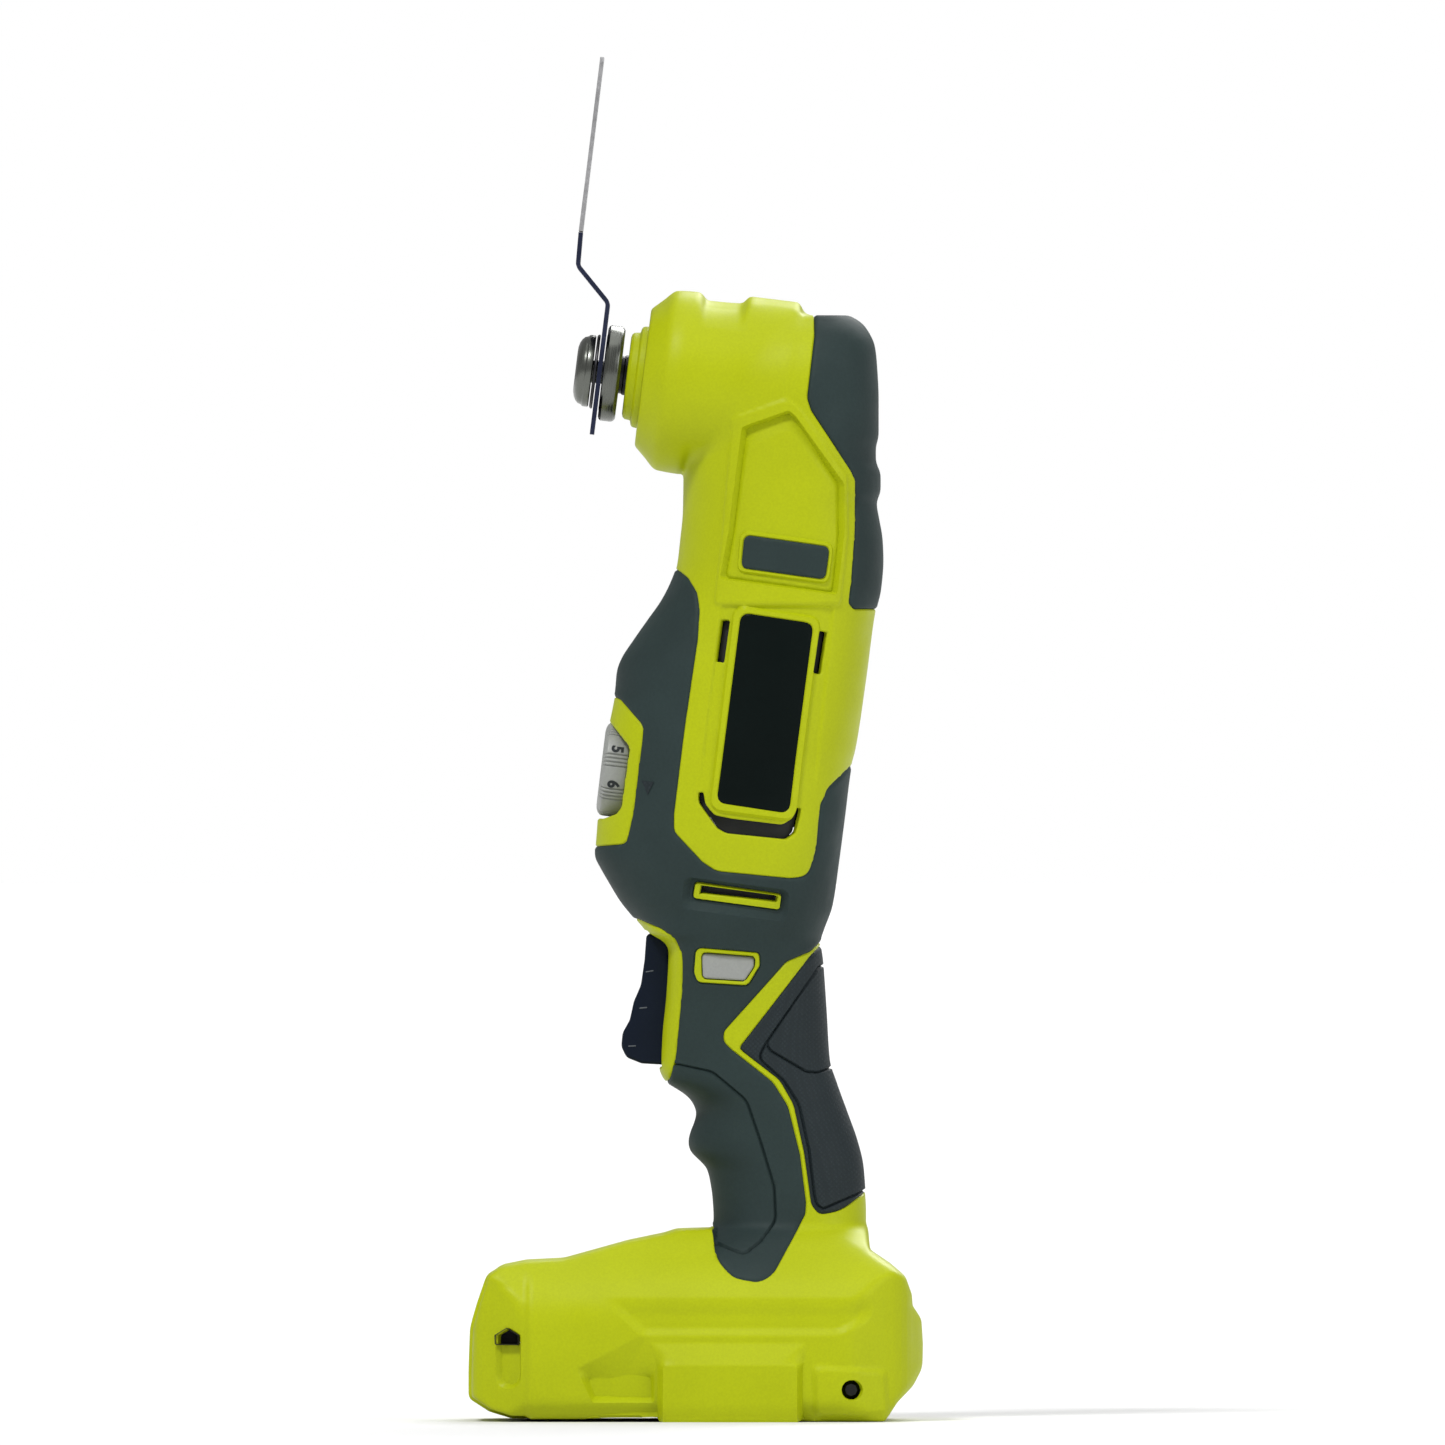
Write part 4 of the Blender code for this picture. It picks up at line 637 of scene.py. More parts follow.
GRIP_LIFT = 0.15
EDGES = {
    "lime": edge(0.32, 0.3, "grip", "rear", "bumper") + edge(0.3, 0.3, "pad", "label", "nose_hole")
    + edge(0.3, 0.3, "lock_frame") * (FAR["lock_frame"] < 0.01)
    + edge(0.3, 0.3, "slot_frame") * (FAR["slot_frame"] < 0.01)
    + edge(0.25, 0.25, "vent_front", "vent_rear") + edge(0.25, 0.3, "curved", "lock")
    + edge(0.2, 0.25, "slot")
    + 0.45 * sunk("lock_frame", 0.3) + 0.55 * sunk("slot_frame", 0.3),
    "grip": edge(0.55, 0.8, "grip") + groove("groove") + edge(0.4, 0.35, "lock_frame")
    + edge(0.4, 0.3, "slot_frame") + GRIP_LIFT,
    "rear": edge(0.55, 0.8, "rear") + np.minimum(groove("texture"), groove("upper")) + GRIP_LIFT,
    "bumper": edge(0.7, 0.8, "bumper") + GRIP_LIFT,
    "pad": edge(0.5, 0.5, "pad") + 0.45,
    "label": edge(0.25, 0.3, "label") - 0.05,
    "vent": np.full(len(points), -2.4),
}


# ---------------------------------------------------------------- materials


class Nodes:
    """Builds one node material."""

    def __init__(self, name, **sockets):
        self.made = bpy.data.materials.new(name)
        self.made.use_nodes = True
        self.tree = self.made.node_tree
        self.shader = self.tree.nodes["Principled BSDF"]
        for key, value in sockets.items():
            self.shader.inputs[key.replace("_", " ")].default_value = value
        self.place = self.add("ShaderNodeTexCoord").outputs["Object"]

    def add(self, kind, **settings):
        node = self.tree.nodes.new(kind)
        for key, value in settings.items():
            if key in node.inputs:
                node.inputs[key].default_value = value
            else:
                setattr(node, key, value)
        return node

    def link(self, a, b):
        self.tree.links.new(a, b)

    def fed(self, *pairs):
        """Sets each socket to its value, or links it where the value is another node's output."""
        for value, socket in pairs:
            if isinstance(value, (int, float, tuple)):
                socket.default_value = value
            else:
                self.link(value, socket)

    def mapped(self, **settings):
        """The object's coordinates, turned or stretched."""
        mapping = self.add("ShaderNodeMapping", **settings)
        self.link(self.place, mapping.inputs["Vector"])
        return mapping.outputs["Vector"]

    def noise(self, scale, detail=3.0, roughness=0.55, place=None):
        node = self.add("ShaderNodeTexNoise", Scale=scale, Detail=detail, Roughness=roughness)
        self.link(place or self.place, node.inputs["Vector"])
        return node.outputs["Fac"]

    def ramp(self, value, *stops):
        node = self.add("ShaderNodeValToRGB")
        for element, (at, colour) in zip(node.color_ramp.elements, stops):
            element.position, element.color = at, colour
        self.link(value, node.inputs["Fac"])
        return node.outputs["Color"]

    def remap(self, value, low, high, to_low, to_high):
        node = self.add("ShaderNodeMapRange")
        for key, number in zip(("From Min", "From Max", "To Min", "To Max"), (low, high, to_low, to_high)):
            node.inputs[key].default_value = number
        self.link(value, node.inputs["Value"])
        return node.outputs["Result"]

    def mix(self, a, b, share, kind="MIX"):
        node = self.add("ShaderNodeMix", data_type="RGBA", blend_type=kind)
        self.fed((share, node.inputs[0]), (a, node.inputs[6]), (b, node.inputs[7]))
        return node.outputs[2]

    def mottled(self, base, value, grey, low=0.3):
        """The base colour, darkened by grey where value is low."""
        shadow = self.ramp(value, (low, (grey, grey, grey, 1)), (1 - low, (1, 1, 1, 1)))
        return self.mix(base, shadow, 1.0, "MULTIPLY")

    def plus(self, value, other, share):
        """A value with a share of another one added."""
        node = self.add("ShaderNodeMath", operation="MULTIPLY_ADD")
        self.fed((other, node.inputs[0]), (share, node.inputs[1]), (value, node.inputs[2]))
        return node.outputs[0]

    def bump(self, height, strength, distance):
        node = self.add("ShaderNodeBump", Strength=strength, Distance=distance)
        self.link(height, node.inputs["Height"])
        self.link(node.outputs["Normal"], self.shader.inputs["Normal"])

    def finish(self, colour, rough_by, rough, rougher):
        """The base colour, and a roughness that rises with another value."""
        self.link(colour, self.shader.inputs["Base Color"])
        self.link(self.remap(rough_by, 0.3, 0.7, rough, rougher), self.shader.inputs["Roughness"])
        return self.made


def shade(colour, factor):
    return tuple(min(1.0, c * factor) for c in colour) + (1.0,)


def moulded(name, colour, roughness, grain=1700.0, depth=0.00006, variation=0.05, edge_wear_and_highlight=0.0, **sockets):
    """Moulded plastic or rubber: spark-eroded texture, slight flow marks, uneven gloss, and lighter edges
    that are partly wear, partly a painted highlight.
    """
    n = Nodes(name, **sockets)
    broad, fine = n.noise(38, 2), n.noise(grain, 2, 0.6)
    base = n.ramp(broad, (0.32, shade(colour, 1 - variation)), (0.68, shade(colour, 1 + variation)))
    base = n.mottled(base, fine, 0.93, 0.35)
    if edge_wear_and_highlight:
        # Convex edges are lightened by pointiness: partly edge wear, partly a painted highlight where light
        # catches the rounded edges.
        bend = n.add("ShaderNodeNewGeometry").outputs["Pointiness"]
        base = n.mix(base, shade(colour, 1.8), n.remap(bend, 0.52, 0.62, 0.0, edge_wear_and_highlight))
    n.bump(n.plus(fine, n.noise(grain * 0.4, 1), 0.6), 0.28, depth)
    return n.finish(base, n.noise(120, 3), roughness - 0.05, roughness + 0.06)


def stippled(name, colour, roughness, **sockets):
    """Soft rubber with rows of tiny raised points for grip."""
    n = Nodes(name, **sockets)
    cell = n.add("ShaderNodeTexVoronoi", Scale=1150.0, Randomness=0.12)
    n.link(n.mapped(Rotation=(0, 0.785, 0)), cell.inputs["Vector"])
    dots = n.remap(cell.outputs["Distance"], 0.0, 0.55, 1.0, 0.0)
    base = n.ramp(dots, (0.1, shade(colour, 0.82)), (0.8, shade(colour, 1.12)))
    n.bump(n.plus(dots, n.noise(2200, 2), 0.3), 0.5, 0.00014)
    return n.finish(n.mottled(base, n.noise(45, 2), 0.9), n.noise(200, 2), roughness - 0.05, roughness + 0.05)


def metal(name, colour, roughness, worked="cast", grain=900.0, dark=0.8):
    """Cast metal, ground metal, or metal turned about the spindle, which leaves rings."""
    n = Nodes(name, Metallic=1.0)
    if worked == "turned":
        split = n.add("ShaderNodeSeparateXYZ")
        n.link(n.mapped(Rotation=(0, -TILT, 0)), split.inputs["Vector"])
        rows = n.add("ShaderNodeTexNoise", noise_dimensions="1D", Scale=2600.0, Detail=2.0)
        n.link(split.outputs["X"], rows.inputs["W"])
        lines = rows.outputs["Fac"]
    elif worked == "ground":
        lines = n.noise(grain, 4, 0.6, n.mapped(Scale=(1, 0.05, 1)))
    else:
        lines = n.noise(grain, 3, 0.6)
    base = n.ramp(n.noise(70, 3), (0.3, shade(colour, dark)), (0.7, shade(colour, 1.06)))
    n.bump(lines, 0.25, 0.00004)
    return n.finish(n.mottled(base, lines, 0.82), lines, roughness - 0.07, roughness + 0.1)


def coated_steel(name):
    """Dark blue coated steel, rubbed thin in places."""
    n = Nodes(name, Metallic=0.6)
    patches, fine = n.noise(160, 4, 0.6), n.noise(600, 3, 0.6)
    coat = n.ramp(patches, (0.3, (0.008, 0.012, 0.034, 1)), (0.7, (0.018, 0.024, 0.06, 1)))
    n.bump(n.noise(1500, 2), 0.2, 0.00003)
    rubbed = n.remap(fine, 0.66, 0.8, 0.0, 0.4)
    return n.finish(n.mix(coat, (0.16, 0.16, 0.17, 1), rubbed), patches, 0.32, 0.5)


def circuit_board(name):
    """Circuit board with a lacquered mottle and pale tracks."""
    n = Nodes(name, Coat_Weight=0.3)
    tracks = n.add(
        "ShaderNodeTexBrick", Scale=160.0, Color1=(0.01, 0.13, 0.045, 1), Color2=(0.012, 0.17, 0.06, 1),
        Mortar=(0.05, 0.3, 0.12, 1),
    )
    n.link(n.place, tracks.inputs["Vector"])
    n.bump(tracks.outputs["Fac"], 0.3, 0.00008)
    return n.finish(n.mottled(tracks.outputs["Color"], n.noise(300), 0.8), n.noise(250), 0.3, 0.45)


LIME = (0.41, 0.47, 0.003)
GREY = (0.021, 0.036, 0.0355)
REAR_GREY = (0.02, 0.029, 0.033)
BLACK_BLUE = (0.0045, 0.0085, 0.018)
LABEL_BLACK = (0.003, 0.006, 0.0055)
looks = {
    "lime": moulded("lime_shell", LIME, 0.46, variation=0.03, Specular_IOR_Level=0.16),
    "grip": moulded("grey_overmould", GREY, 0.62, 1300.0, 0.0001, 0.1, edge_wear_and_highlight=0.25, Specular_IOR_Level=0.18),
    "rear": stippled("stippled_overmould", REAR_GREY, 0.6, Specular_IOR_Level=0.18),
    "label": moulded("label_film_look", LABEL_BLACK, 0.36, 900.0, 0.00002, 0.1, Specular_IOR_Level=0.06),
    "black": moulded("black_moulding", BLACK_BLUE, 0.46, variation=0.12, edge_wear_and_highlight=0.1, Specular_IOR_Level=0.1),
    "vent": moulded("vent_floor_look", (0.004, 0.0045, 0.006), 0.7, variation=0.3),
    "light": moulded("pale_grey_moulding", (0.29, 0.30, 0.285), 0.42, variation=0.04),
    "mark": moulded("dial_print", (0.02, 0.024, 0.026), 0.5, variation=0.1, Specular_IOR_Level=0.2),
    # Lighter grey for the trigger's ribs: a painted highlight on the ribs.
    "rib_highlight": moulded("trigger_rib_highlight", (0.1, 0.115, 0.13), 0.5, variation=0.1),
    "steel": metal("turned_steel", (0.17, 0.178, 0.16), 0.26, "turned"),
    "bearing": metal("bearing_steel", (0.6, 0.6, 0.6), 0.24, "turned"),
    "blade": metal("ground_steel", (0.5, 0.5, 0.51), 0.34, "ground", dark=0.9),
    "dark_steel": metal("blackened_steel", (0.05, 0.05, 0.054), 0.4, grain=700.0),
    "shank": coated_steel("coated_steel"),
    "aluminium": metal("cast_metal", (0.5, 0.5, 0.51), 0.5, grain=600.0, dark=0.7),
    "copper": metal("copper_winding", (0.72, 0.3, 0.13), 0.32, grain=1600.0),
    "magnet": metal("sintered_magnet", (0.09, 0.09, 0.1), 0.6, grain=1800.0),
    "board": circuit_board("circuit_board_look"),
    "red": moulded("red_sleeve", (0.45, 0.015, 0.012), 0.42),
    "black_wire": moulded("black_sleeve", (0.012, 0.012, 0.013), 0.42),
    "nylon": moulded("white_nylon_look", (0.62, 0.62, 0.58), 0.5, Subsurface_Weight=0.05),
}

# The look of each CAD material, where its name isn't the look's own
CAD_LOOKS = {
    "black_insulation": "black_wire", "red_insulation": "red", "circuit_board": "board",
    "white_nylon": "nylon", "black_plastic": "black", "cast_aluminium": "aluminium",
    "spindle_steel": "bearing", "soft_grip": "grip", "textured_grip": "rear", "lime_plastic": "lime",
    "label_film": "label", "light_grey_plastic": "light", "blade_steel": "blade",
}
for entry in frame["record"]["subparts"]:
    cad_slot = entry["material_slot"]
    node = frame["nodes"][entry["node"]]
    node.data.materials.clear()
    node.data.materials.append(looks[CAD_LOOKS.get(cad_slot, cad_slot)])


# ---------------------------------------------------------------- pieces


def finish_piece(made, look, body, slot_name, *replaced):
    """Gives a piece its look and its body, and hides the CAD nodes that it stands for. Its material slot is
    not used.
    """
    made.data.materials.clear()
    made.data.materials.append(looks[look])
    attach(made, body)
    if replaced:
        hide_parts(*replaced)


def mesh_object(name, verts, polygons, angle=30, closed=True):
    """An object from points in millimetres. A closed mesh is welded and its faces turned outwards."""
    mesh = bpy.data.meshes.new(name)
    mesh.from_pydata([tuple(Vector(v) * MM) for v in verts], [], polygons)
    mesh.validate()
    if closed:
        bm = bmesh.new()
        bm.from_mesh(mesh)
        bmesh.ops.remove_doubles(bm, verts=bm.verts, dist=1e-7)
        bmesh.ops.delete(bm, geom=[e for e in bm.edges if not e.link_faces], context="EDGES")
        bmesh.ops.recalc_face_normals(bm, faces=bm.faces)
        bm.to_mesh(mesh)
        bm.free()
    made = bpy.data.objects.new(name, mesh)
    bpy.context.scene.collection.objects.link(made)
    mesh.shade_smooth()
    mesh.set_sharp_from_angle(angle=math.radians(angle))
    return made


def bands(rings, count, joined=False):
    """Quads between rings of count points each. Joined, the last ring also meets the first."""
    return [
        (r * count + k, r * count + (k + 1) % count, (r + 1) % rings * count + (k + 1) % count,
         (r + 1) % rings * count + k)
        for r in range(rings if joined else rings - 1) for k in range(count)
    ]


def ringed(name, rings, angle=30, folded=False):
    """A solid through rings of equally many points. Its ends are flat, or for a thin plate folded shut."""
    count = len(rings[0])
    last = (len(rings) - 1) * count
    if folded:
        ends = [
            (start + k, start + k + 1, start + count - 2 - k, start + count - 1 - k)
            for start in (0, last) for k in range(count // 2 - 1)
        ]
    else:
        ends = [tuple(range(count)), tuple(range(last, last + count))]
    return mesh_object(name, [v for ring in rings for v in ring], bands(len(rings), count) + ends, angle)


def shell_piece(name, chosen, raised, side):
    """One side's piece of the surface: the chosen triangles with an inner face and a closed rim."""
    index, tri = np.unique(faces[chosen], return_inverse=True)
    tri = tri.reshape(-1, 3)
    outer = points[index] + normals[index] * raised[index][:, None]
    outer[:, 1] = np.maximum(outer[:, 1], -WIDEST)
    outer[:, 2] = np.maximum(outer[:, 2], 0)
    inner = outer - normals[index] * SKIN
    inner[:, 1] = np.minimum(inner[:, 1], -SEAM)
    count = len(outer)
    edges = np.concatenate([tri[:, [0, 1]], tri[:, [1, 2]], tri[:, [2, 0]]]).astype(np.int64)
    lone = ~np.isin(edges[:, 0] * count + edges[:, 1], edges[:, 1] * count + edges[:, 0])
    a, b = edges[lone].T
    rim = np.concatenate([np.stack([b, a, a + count], 1), np.stack([b, a + count, b + count], 1)])
    verts = np.concatenate([outer, inner]) * (1, -side, 1)
    tri = np.concatenate([tri, tri[:, ::-1] + count, rim])[:, ::-side]
    return mesh_object(name, verts.tolist(), tri.tolist(), 38, closed=False)


SHELL_PIECES = (
    ("shell", limes, "lime", "lime", "lime_plastic", "housing"),
    ("front_overmould", grips, "grip", "grip", "soft_grip", "body_grip"),
    ("rear_overmould", rears, "rear", "rear", "textured_grip", "rear_grip"),
    ("head_guard", bumpers, "bumper", "grip", "soft_grip", "head_bumper"),
    ("touch_pad", pads, "pad", "grip", "soft_grip", "side_pad"),
    ("label_plate", labels, "label", "label", "label_film", "label"),
    ("vent_floor", vents, "vent", "vent", "black_plastic", None),
)
for side, word in ((-1, "left"), (1, "right")):
    open_wells = within(*[well for well in WELLS if (well == LEFT_WELL) == (side < 0)])
    for name, chosen, edges_of, look, slot_name, cad_name in SHELL_PIECES:
        if side > 0 and name == "shell":
            chosen = chosen | nose_hole  # only the left side has this hole
        made = shell_piece(f"{name}_{word}", chosen & ~open_wells, relief + EDGES[edges_of], side)
        finish_piece(made, look, "housing", slot_name, *([f"{cad_name}_{word}"] if cad_name else []))


def turned(matrix, radii, height):
    """A ring of points about an axis, from its evenly spaced radii, in millimetres."""
    turns = [2 * math.pi * k / len(radii) for k in range(len(radii))]
    ring = [Vector((r * math.cos(a), r * math.sin(a), height)) for r, a in zip(radii, turns)]
    return [matrix @ (point * MM) / MM for point in ring]


def lathe(name, profile, steps=96):
    """A closed profile of (radius, p) turned about the spindle's axis."""
    verts = [point for radius, height in profile for point in turned(ALONG_P, [radius] * steps, height)]
    return mesh_object(name, verts, bands(len(profile), steps, joined=True), 32)


# Front of the head: collar, spindle neck, tool holder, washer and clamping bolt
HOLDER_FACE = -50.4
BLADE_THICK, BLADE_GAP = 1.1, 0.25
BLADE_P = HOLDER_FACE - BLADE_GAP - BLADE_THICK / 2
BLADE_STEP = 8.9  # how far the cutting plate lies in front of the clamped end
WASHER_BACK = BLADE_P - BLADE_THICK / 2 - BLADE_GAP
BOLT_SEAT = WASHER_BACK - 1.05
BOLT_TOP = BOLT_SEAT - 4.2

finish_piece(lathe("collar_ring", [
    (6.9, -44.4), (9.6, -44.4), (10.4, -44.2), (10.9, -43.6), (11, -42.6), (11.1, -42.2), (12, -42),
    (12.5, -41.7), (12.7, -41.2), (12.8, -40.35), (6.9, -40.35),
]), "lime", "housing", "lime_plastic", "head_collar")
finish_piece(lathe("spindle_neck", [
    (3.2, -50.2), (4.8, -50.2), (5, -50), (5, -46.8), (4.7, -46.5), (4.7, -45.3), (5, -45), (5, 13.2),
    (4.7, 13.5), (0, 13.5), (0, -29.5), (3.2, -31),
]), "dark_steel", "spindle_unit", "dark_steel", "spindle")
finish_piece(lathe("holder_disc", [
    (5.3, HOLDER_FACE), (9.2, HOLDER_FACE), (9.6, -50.3), (11, -50.3), (11.6, -50.1), (12, -49.6), (12, -47),
    (11.7, -46.4), (11.1, -46), (8.4, -46), (8, -46.3), (6.2, -46.3), (5.3, -46.2),
]), "steel", "spindle_unit", "spindle_steel", "tool_holder")
finish_piece(lathe("washer_ring", [(radius, WASHER_BACK - ahead) for radius, ahead in (
    (3.2, 0.8), (8.8, 0.8), (9.15, 0.65), (9.3, 0.4), (9.3, 0.15), (9.1, 0), (3.2, 0),
)]), "dark_steel", "clamp", "dark_steel", "clamp_washer")


def hex_socket_bolt():
    """The clamping bolt: domed head with a six-sided socket, and its shank."""
    profile = [(radius, BOLT_TOP + down, hexed) for radius, down, hexed in (
        (3.45, 2.6, 1), (3.45, 0.5, 1), (3.75, 0.12, 0.6), (4.5, 0, 0), (5.6, 0.05, 0), (6.8, 0.35, 0),
        (7.7, 0.85, 0), (8.3, 1.45, 0), (8.5, 2.05, 0), (8.6, 2.35, 0), (8.85, 2.55, 0), (9, 2.9, 0),
    )]
    profile += [(9, BOLT_SEAT - 0.25, 0), (8.7, BOLT_SEAT, 0)]
    profile += [(2.9, BOLT_SEAT, 0), (2.9, -34, 0), (2.5, -33.5, 0)]
    turns = [math.radians(3.75 * k) for k in range(96)]
    hexagon = [math.cos(math.pi / 6) / math.cos(a % (math.pi / 3) - math.pi / 6) / 0.93 for a in turns]
    return ringed("bolt_and_socket", [
        turned(ALONG_P, [radius * (1 - hexed + hexed * flat) for flat in hexagon], height)
        for radius, height, hexed in profile
    ])


finish_piece(hex_socket_bolt(), "steel", "clamp", "spindle_steel", "clamp_bolt")


def bent_plate(name, rows, thick):
    """A bent plate from rows of (p, q, normal p, normal q, half width), each row evenly across y."""
    across = 24
    rings = []
    for p, q, normal_p, normal_q, half in rows:
        ring = []
        for face in (0.5, -0.5):
            x, z = in_barrel(p + normal_p * thick * face, q + normal_q * thick * face)
            ring += [(x, half * (2 * k / across - 1) * 2 * face, z) for k in range(across + 1)]
        rings.append(ring)
    return ringed(name, rings, 40, folded=True)


def centred(line, radius=2.2, steps=5, most=1.2):
    """A bent line with its inner corners rounded, in short steps, as (p, q, normal p, normal q)."""
    path = rounded([(p, q, 0 if k in (0, len(line) - 1) else radius) for k, (p, q) in enumerate(line)], steps)
    rows = []
    for k, here in enumerate(path):
        run = (path[min(k + 1, len(path) - 1)] - path[max(k - 1, 0)]).normalized()
        rows.append(np.array((here.x, here.y, run.y, -run.x)))
    out = []
    for a, b in zip(rows, rows[1:]):
        pieces = max(1, math.ceil(math.hypot(*(b - a)[:2]) / most))
        out += [a + (b - a) * k / pieces for k in range(pieces)]
    return [*out, rows[-1]]


# Half the shank's width, as (q, half width)
SHANK_HALF = [
    (-16, 9.6), (-14, 10.5), (-8, 10.3), (0, 9.6), (6, 9.5), (12, 11), (18, 13.4), (21, 14), (40, 14),
]
shank_line = [(BLADE_P, -15.7), (BLADE_P, 17.4), (BLADE_P - 8.6, 25.7), (BLADE_P - BLADE_STEP, 34.0)]
shank_rows = [(*row, float(np.interp(row[1], *zip(*SHANK_HALF)))) for row in centred(shank_line)]
shank = bent_plate("shank_plate", shank_rows, BLADE_THICK)
finish_piece(shank, "shank", "spindle_unit", "dark_steel", "blade_shank")


def saw_blade():
    """The cutting plate: a thin sheet that tapers to its toothed end."""
    high, teeth, tooth, half = 78.1, 20, 1.5, 14.0
    columns = list(enumerate(np.linspace(-half, half, 2 * teeth + 1)))
    rings = []
    for q in (34.3, 34.6, 40, 48, 56, 64, 70, 74, 76.4, high):
        ring = []
        for face, order in ((0.5, columns), (-0.5, columns[::-1])):
            thick = BLADE_THICK * (0.98 if q < 41 else 0.9)
            for k, y in order:
                gap = tooth if q == high and k % 2 == 0 else 0
                x, z = in_barrel(BLADE_P - BLADE_STEP + thick * face, q - gap)
                ring.append((x, y, z))
        rings.append(ring)
    return ringed("saw_plate", rings, folded=True)


finish_piece(saw_blade(), "blade", "spindle_unit", "blade_steel", "blade_edge")


def pillow(name, outline, half, roundness=1.2, steps=5, per_corner=6):
    """A solid with this outline in side view and softly rounded edges at both ends across."""
    path = rounded(outline, per_corner)
    count = len(path)
    turns = [math.pi / 2 * k / steps for k in range(steps + 1)]
    levels = [(half - roundness * (1 - math.cos(a)), roundness * (1 - math.sin(a))) for a in turns]
    sides = [(-y, inset) for y, inset in levels] + [(0.0, 0.0)] + [(y, inset) for y, inset in levels[::-1]]
    turn = math.copysign(1.0, sum(path[k - 1].cross(path[k]) for k in range(count)))
    out = []
    for k, here in enumerate(path):
        run = (here - path[k - 1]).normalized() + (path[(k + 1) % count] - here).normalized()
        out.append(Vector((run.y, -run.x)).normalized() * turn)
    rings = []
    for y, inset in sides:
        moved = [here - away * inset for here, away in zip(path, out)]
        rings.append([(point.x, y, point.y) for point in moved])
    return ringed(name, rings, 34)


TRIGGER = [
    (-12.4, 121.9, 1.2), (-12.9, 115, 6), (-13.8, 108.8, 6), (-15.6, 104.6, 5), (-16.6, 100, 5),
    (-18.4, 96.8, 4), (-18.7, 93.4, 3), (-17.4, 90.7, 2.4), (-13.6, 89.2, 2), (-6.5, 88.8, 1.2),
    (-6.5, 119.6, 1.2), (-9, 121.2, 2),
]
LOCK_BAR = [(1.4, 116.95, 1), (14.65, 115.9, 0.8), (14.5, 113.4, 1.2), (12.1, 109.95, 1), (1.7, 110.6, 1)]
LOCK_SHOULDER = [(0.4, 117.9, 1), (15.7, 116.8, 1), (15.5, 113, 1), (12.8, 109, 1), (0.7, 109.7, 1)]
finish_piece(pillow("trigger_pull", TRIGGER, 8.0, 1.0), "black", "trigger_unit", "black_plastic", "trigger")
# Ribs on the trigger, coloured lighter than the trigger as a painted highlight on them.
for k, (x, z, lean) in enumerate(((-11.6, 112.4, -0.35), (-13.2, 103.2, -0.2), (-16, 93.6, -0.1))):
    rib = [(x + dx, z + dz, 0.2) for dx, dz in ((-1, 0.2 + lean), (1, 0.2), (1, -0.15), (-1, lean - 0.15))]
    made = pillow(f"trigger_rib_{k + 1}", rib, 8.1, 0.15, 2, per_corner=2)
    finish_piece(made, "rib_highlight", "trigger_unit", "black_plastic")
finish_piece(pillow("lock_bar", LOCK_BAR, 19.6, 0.7), "light", "lock", "light_grey_plastic", "lock_button")
finish_piece(pillow("lock_shoulder", LOCK_SHOULDER, 1.0, 0.2, 2), "black", "lock", "black_plastic")

# The dial, with groups of ridges between its numbers
DIAL_Q, DIAL_R, DIAL_FRONT, DIAL_BACK = -98.2, 11.75, -39.3, -32.2
DIAL = BARREL @ Matrix.Translation((0, 0, DIAL_Q * MM)) @ UPRIGHT_TO_P
LAST_NUMBER_AT, PER_NUMBER = -72.0, 44.0  # degrees round the dial
RIDGES_AT, RIDGE_WIDTH, RIDGE_DEPTH = (14.5, 19.5, 24.5, 29.5), 0.9, 0.45


def dial_disc():
    """The dial: a recessed face, a rounded shoulder and a rim with groups of fine grooves."""
    grooves = []
    for k in range(720):
        turn = (0.5 * k - LAST_NUMBER_AT) % PER_NUMBER
        grooves.append(RIDGE_DEPTH * max(math.exp(-(((turn - at) / RIDGE_WIDTH) ** 2)) for at in RIDGES_AT))
    profile = [(radius, DIAL_FRONT + down) for radius, down in (
        (6.4, 1.1), (7.0, 0.6), (7.5, 0.5), (9.2, 0.5), (10.2, 0.65), (11.0, 1.0), (11.6, 1.6), (DIAL_R, 2.3),
    )]
    profile += [(DIAL_R, DIAL_BACK - 1), (11.6, DIAL_BACK - 0.4), (11.2, DIAL_BACK)]
    return ringed("dial_wheel", [
        turned(DIAL, [radius - groove * (radius > 10.5) for groove in grooves], height)
        for radius, height in profile
    ])


finish_piece(dial_disc(), "light", "dial", "light_grey_plastic", "speed_dial")


def dial_number(text, degrees):
    """A raised number on the dial's rim, read from the side."""
    curve = bpy.data.curves.new(f"number_{text}", "FONT")
    curve.body, curve.size = text, 4.0 * MM
    curve.align_x = curve.align_y = "CENTER"
    curve.extrude, curve.offset = 0.08 * MM, 0.16 * MM
    curve.resolution_u = 6
    letter = bpy.data.objects.new(f"number_{text}", curve)
    bpy.context.scene.collection.objects.link(letter)
    bpy.context.view_layer.update()
    mesh = bpy.data.meshes.new_from_object(letter)
    bpy.data.objects.remove(letter)
    middle = (DIAL_FRONT + DIAL_BACK) / 2 + 0.4
    for vertex in mesh.vertices:
        x, y, z = (c / MM for c in vertex.co)
        a = math.radians(degrees) + x / (DIAL_R + 0.35)
        r = DIAL_R + z
        vertex.co = DIAL @ (Vector((r * math.cos(a), r * math.sin(a), middle + y)) * MM)
    made = bpy.data.objects.new(f"dial_number_{text}", mesh)
    bpy.context.scene.collection.objects.link(made)
    finish_piece(made, "mark", "dial", "black_plastic")


for number in range(1, 7):
    dial_number(str(number), LAST_NUMBER_AT + (number - 6) * PER_NUMBER)


def surface_heights(path):
    """How far out the shell's surface lies at each point of a path in side view."""
    return [abs(float(Y[np.argmin(np.hypot(X - x, Z - z) + np.where(outside, 0, 99))])) for x, z in path]


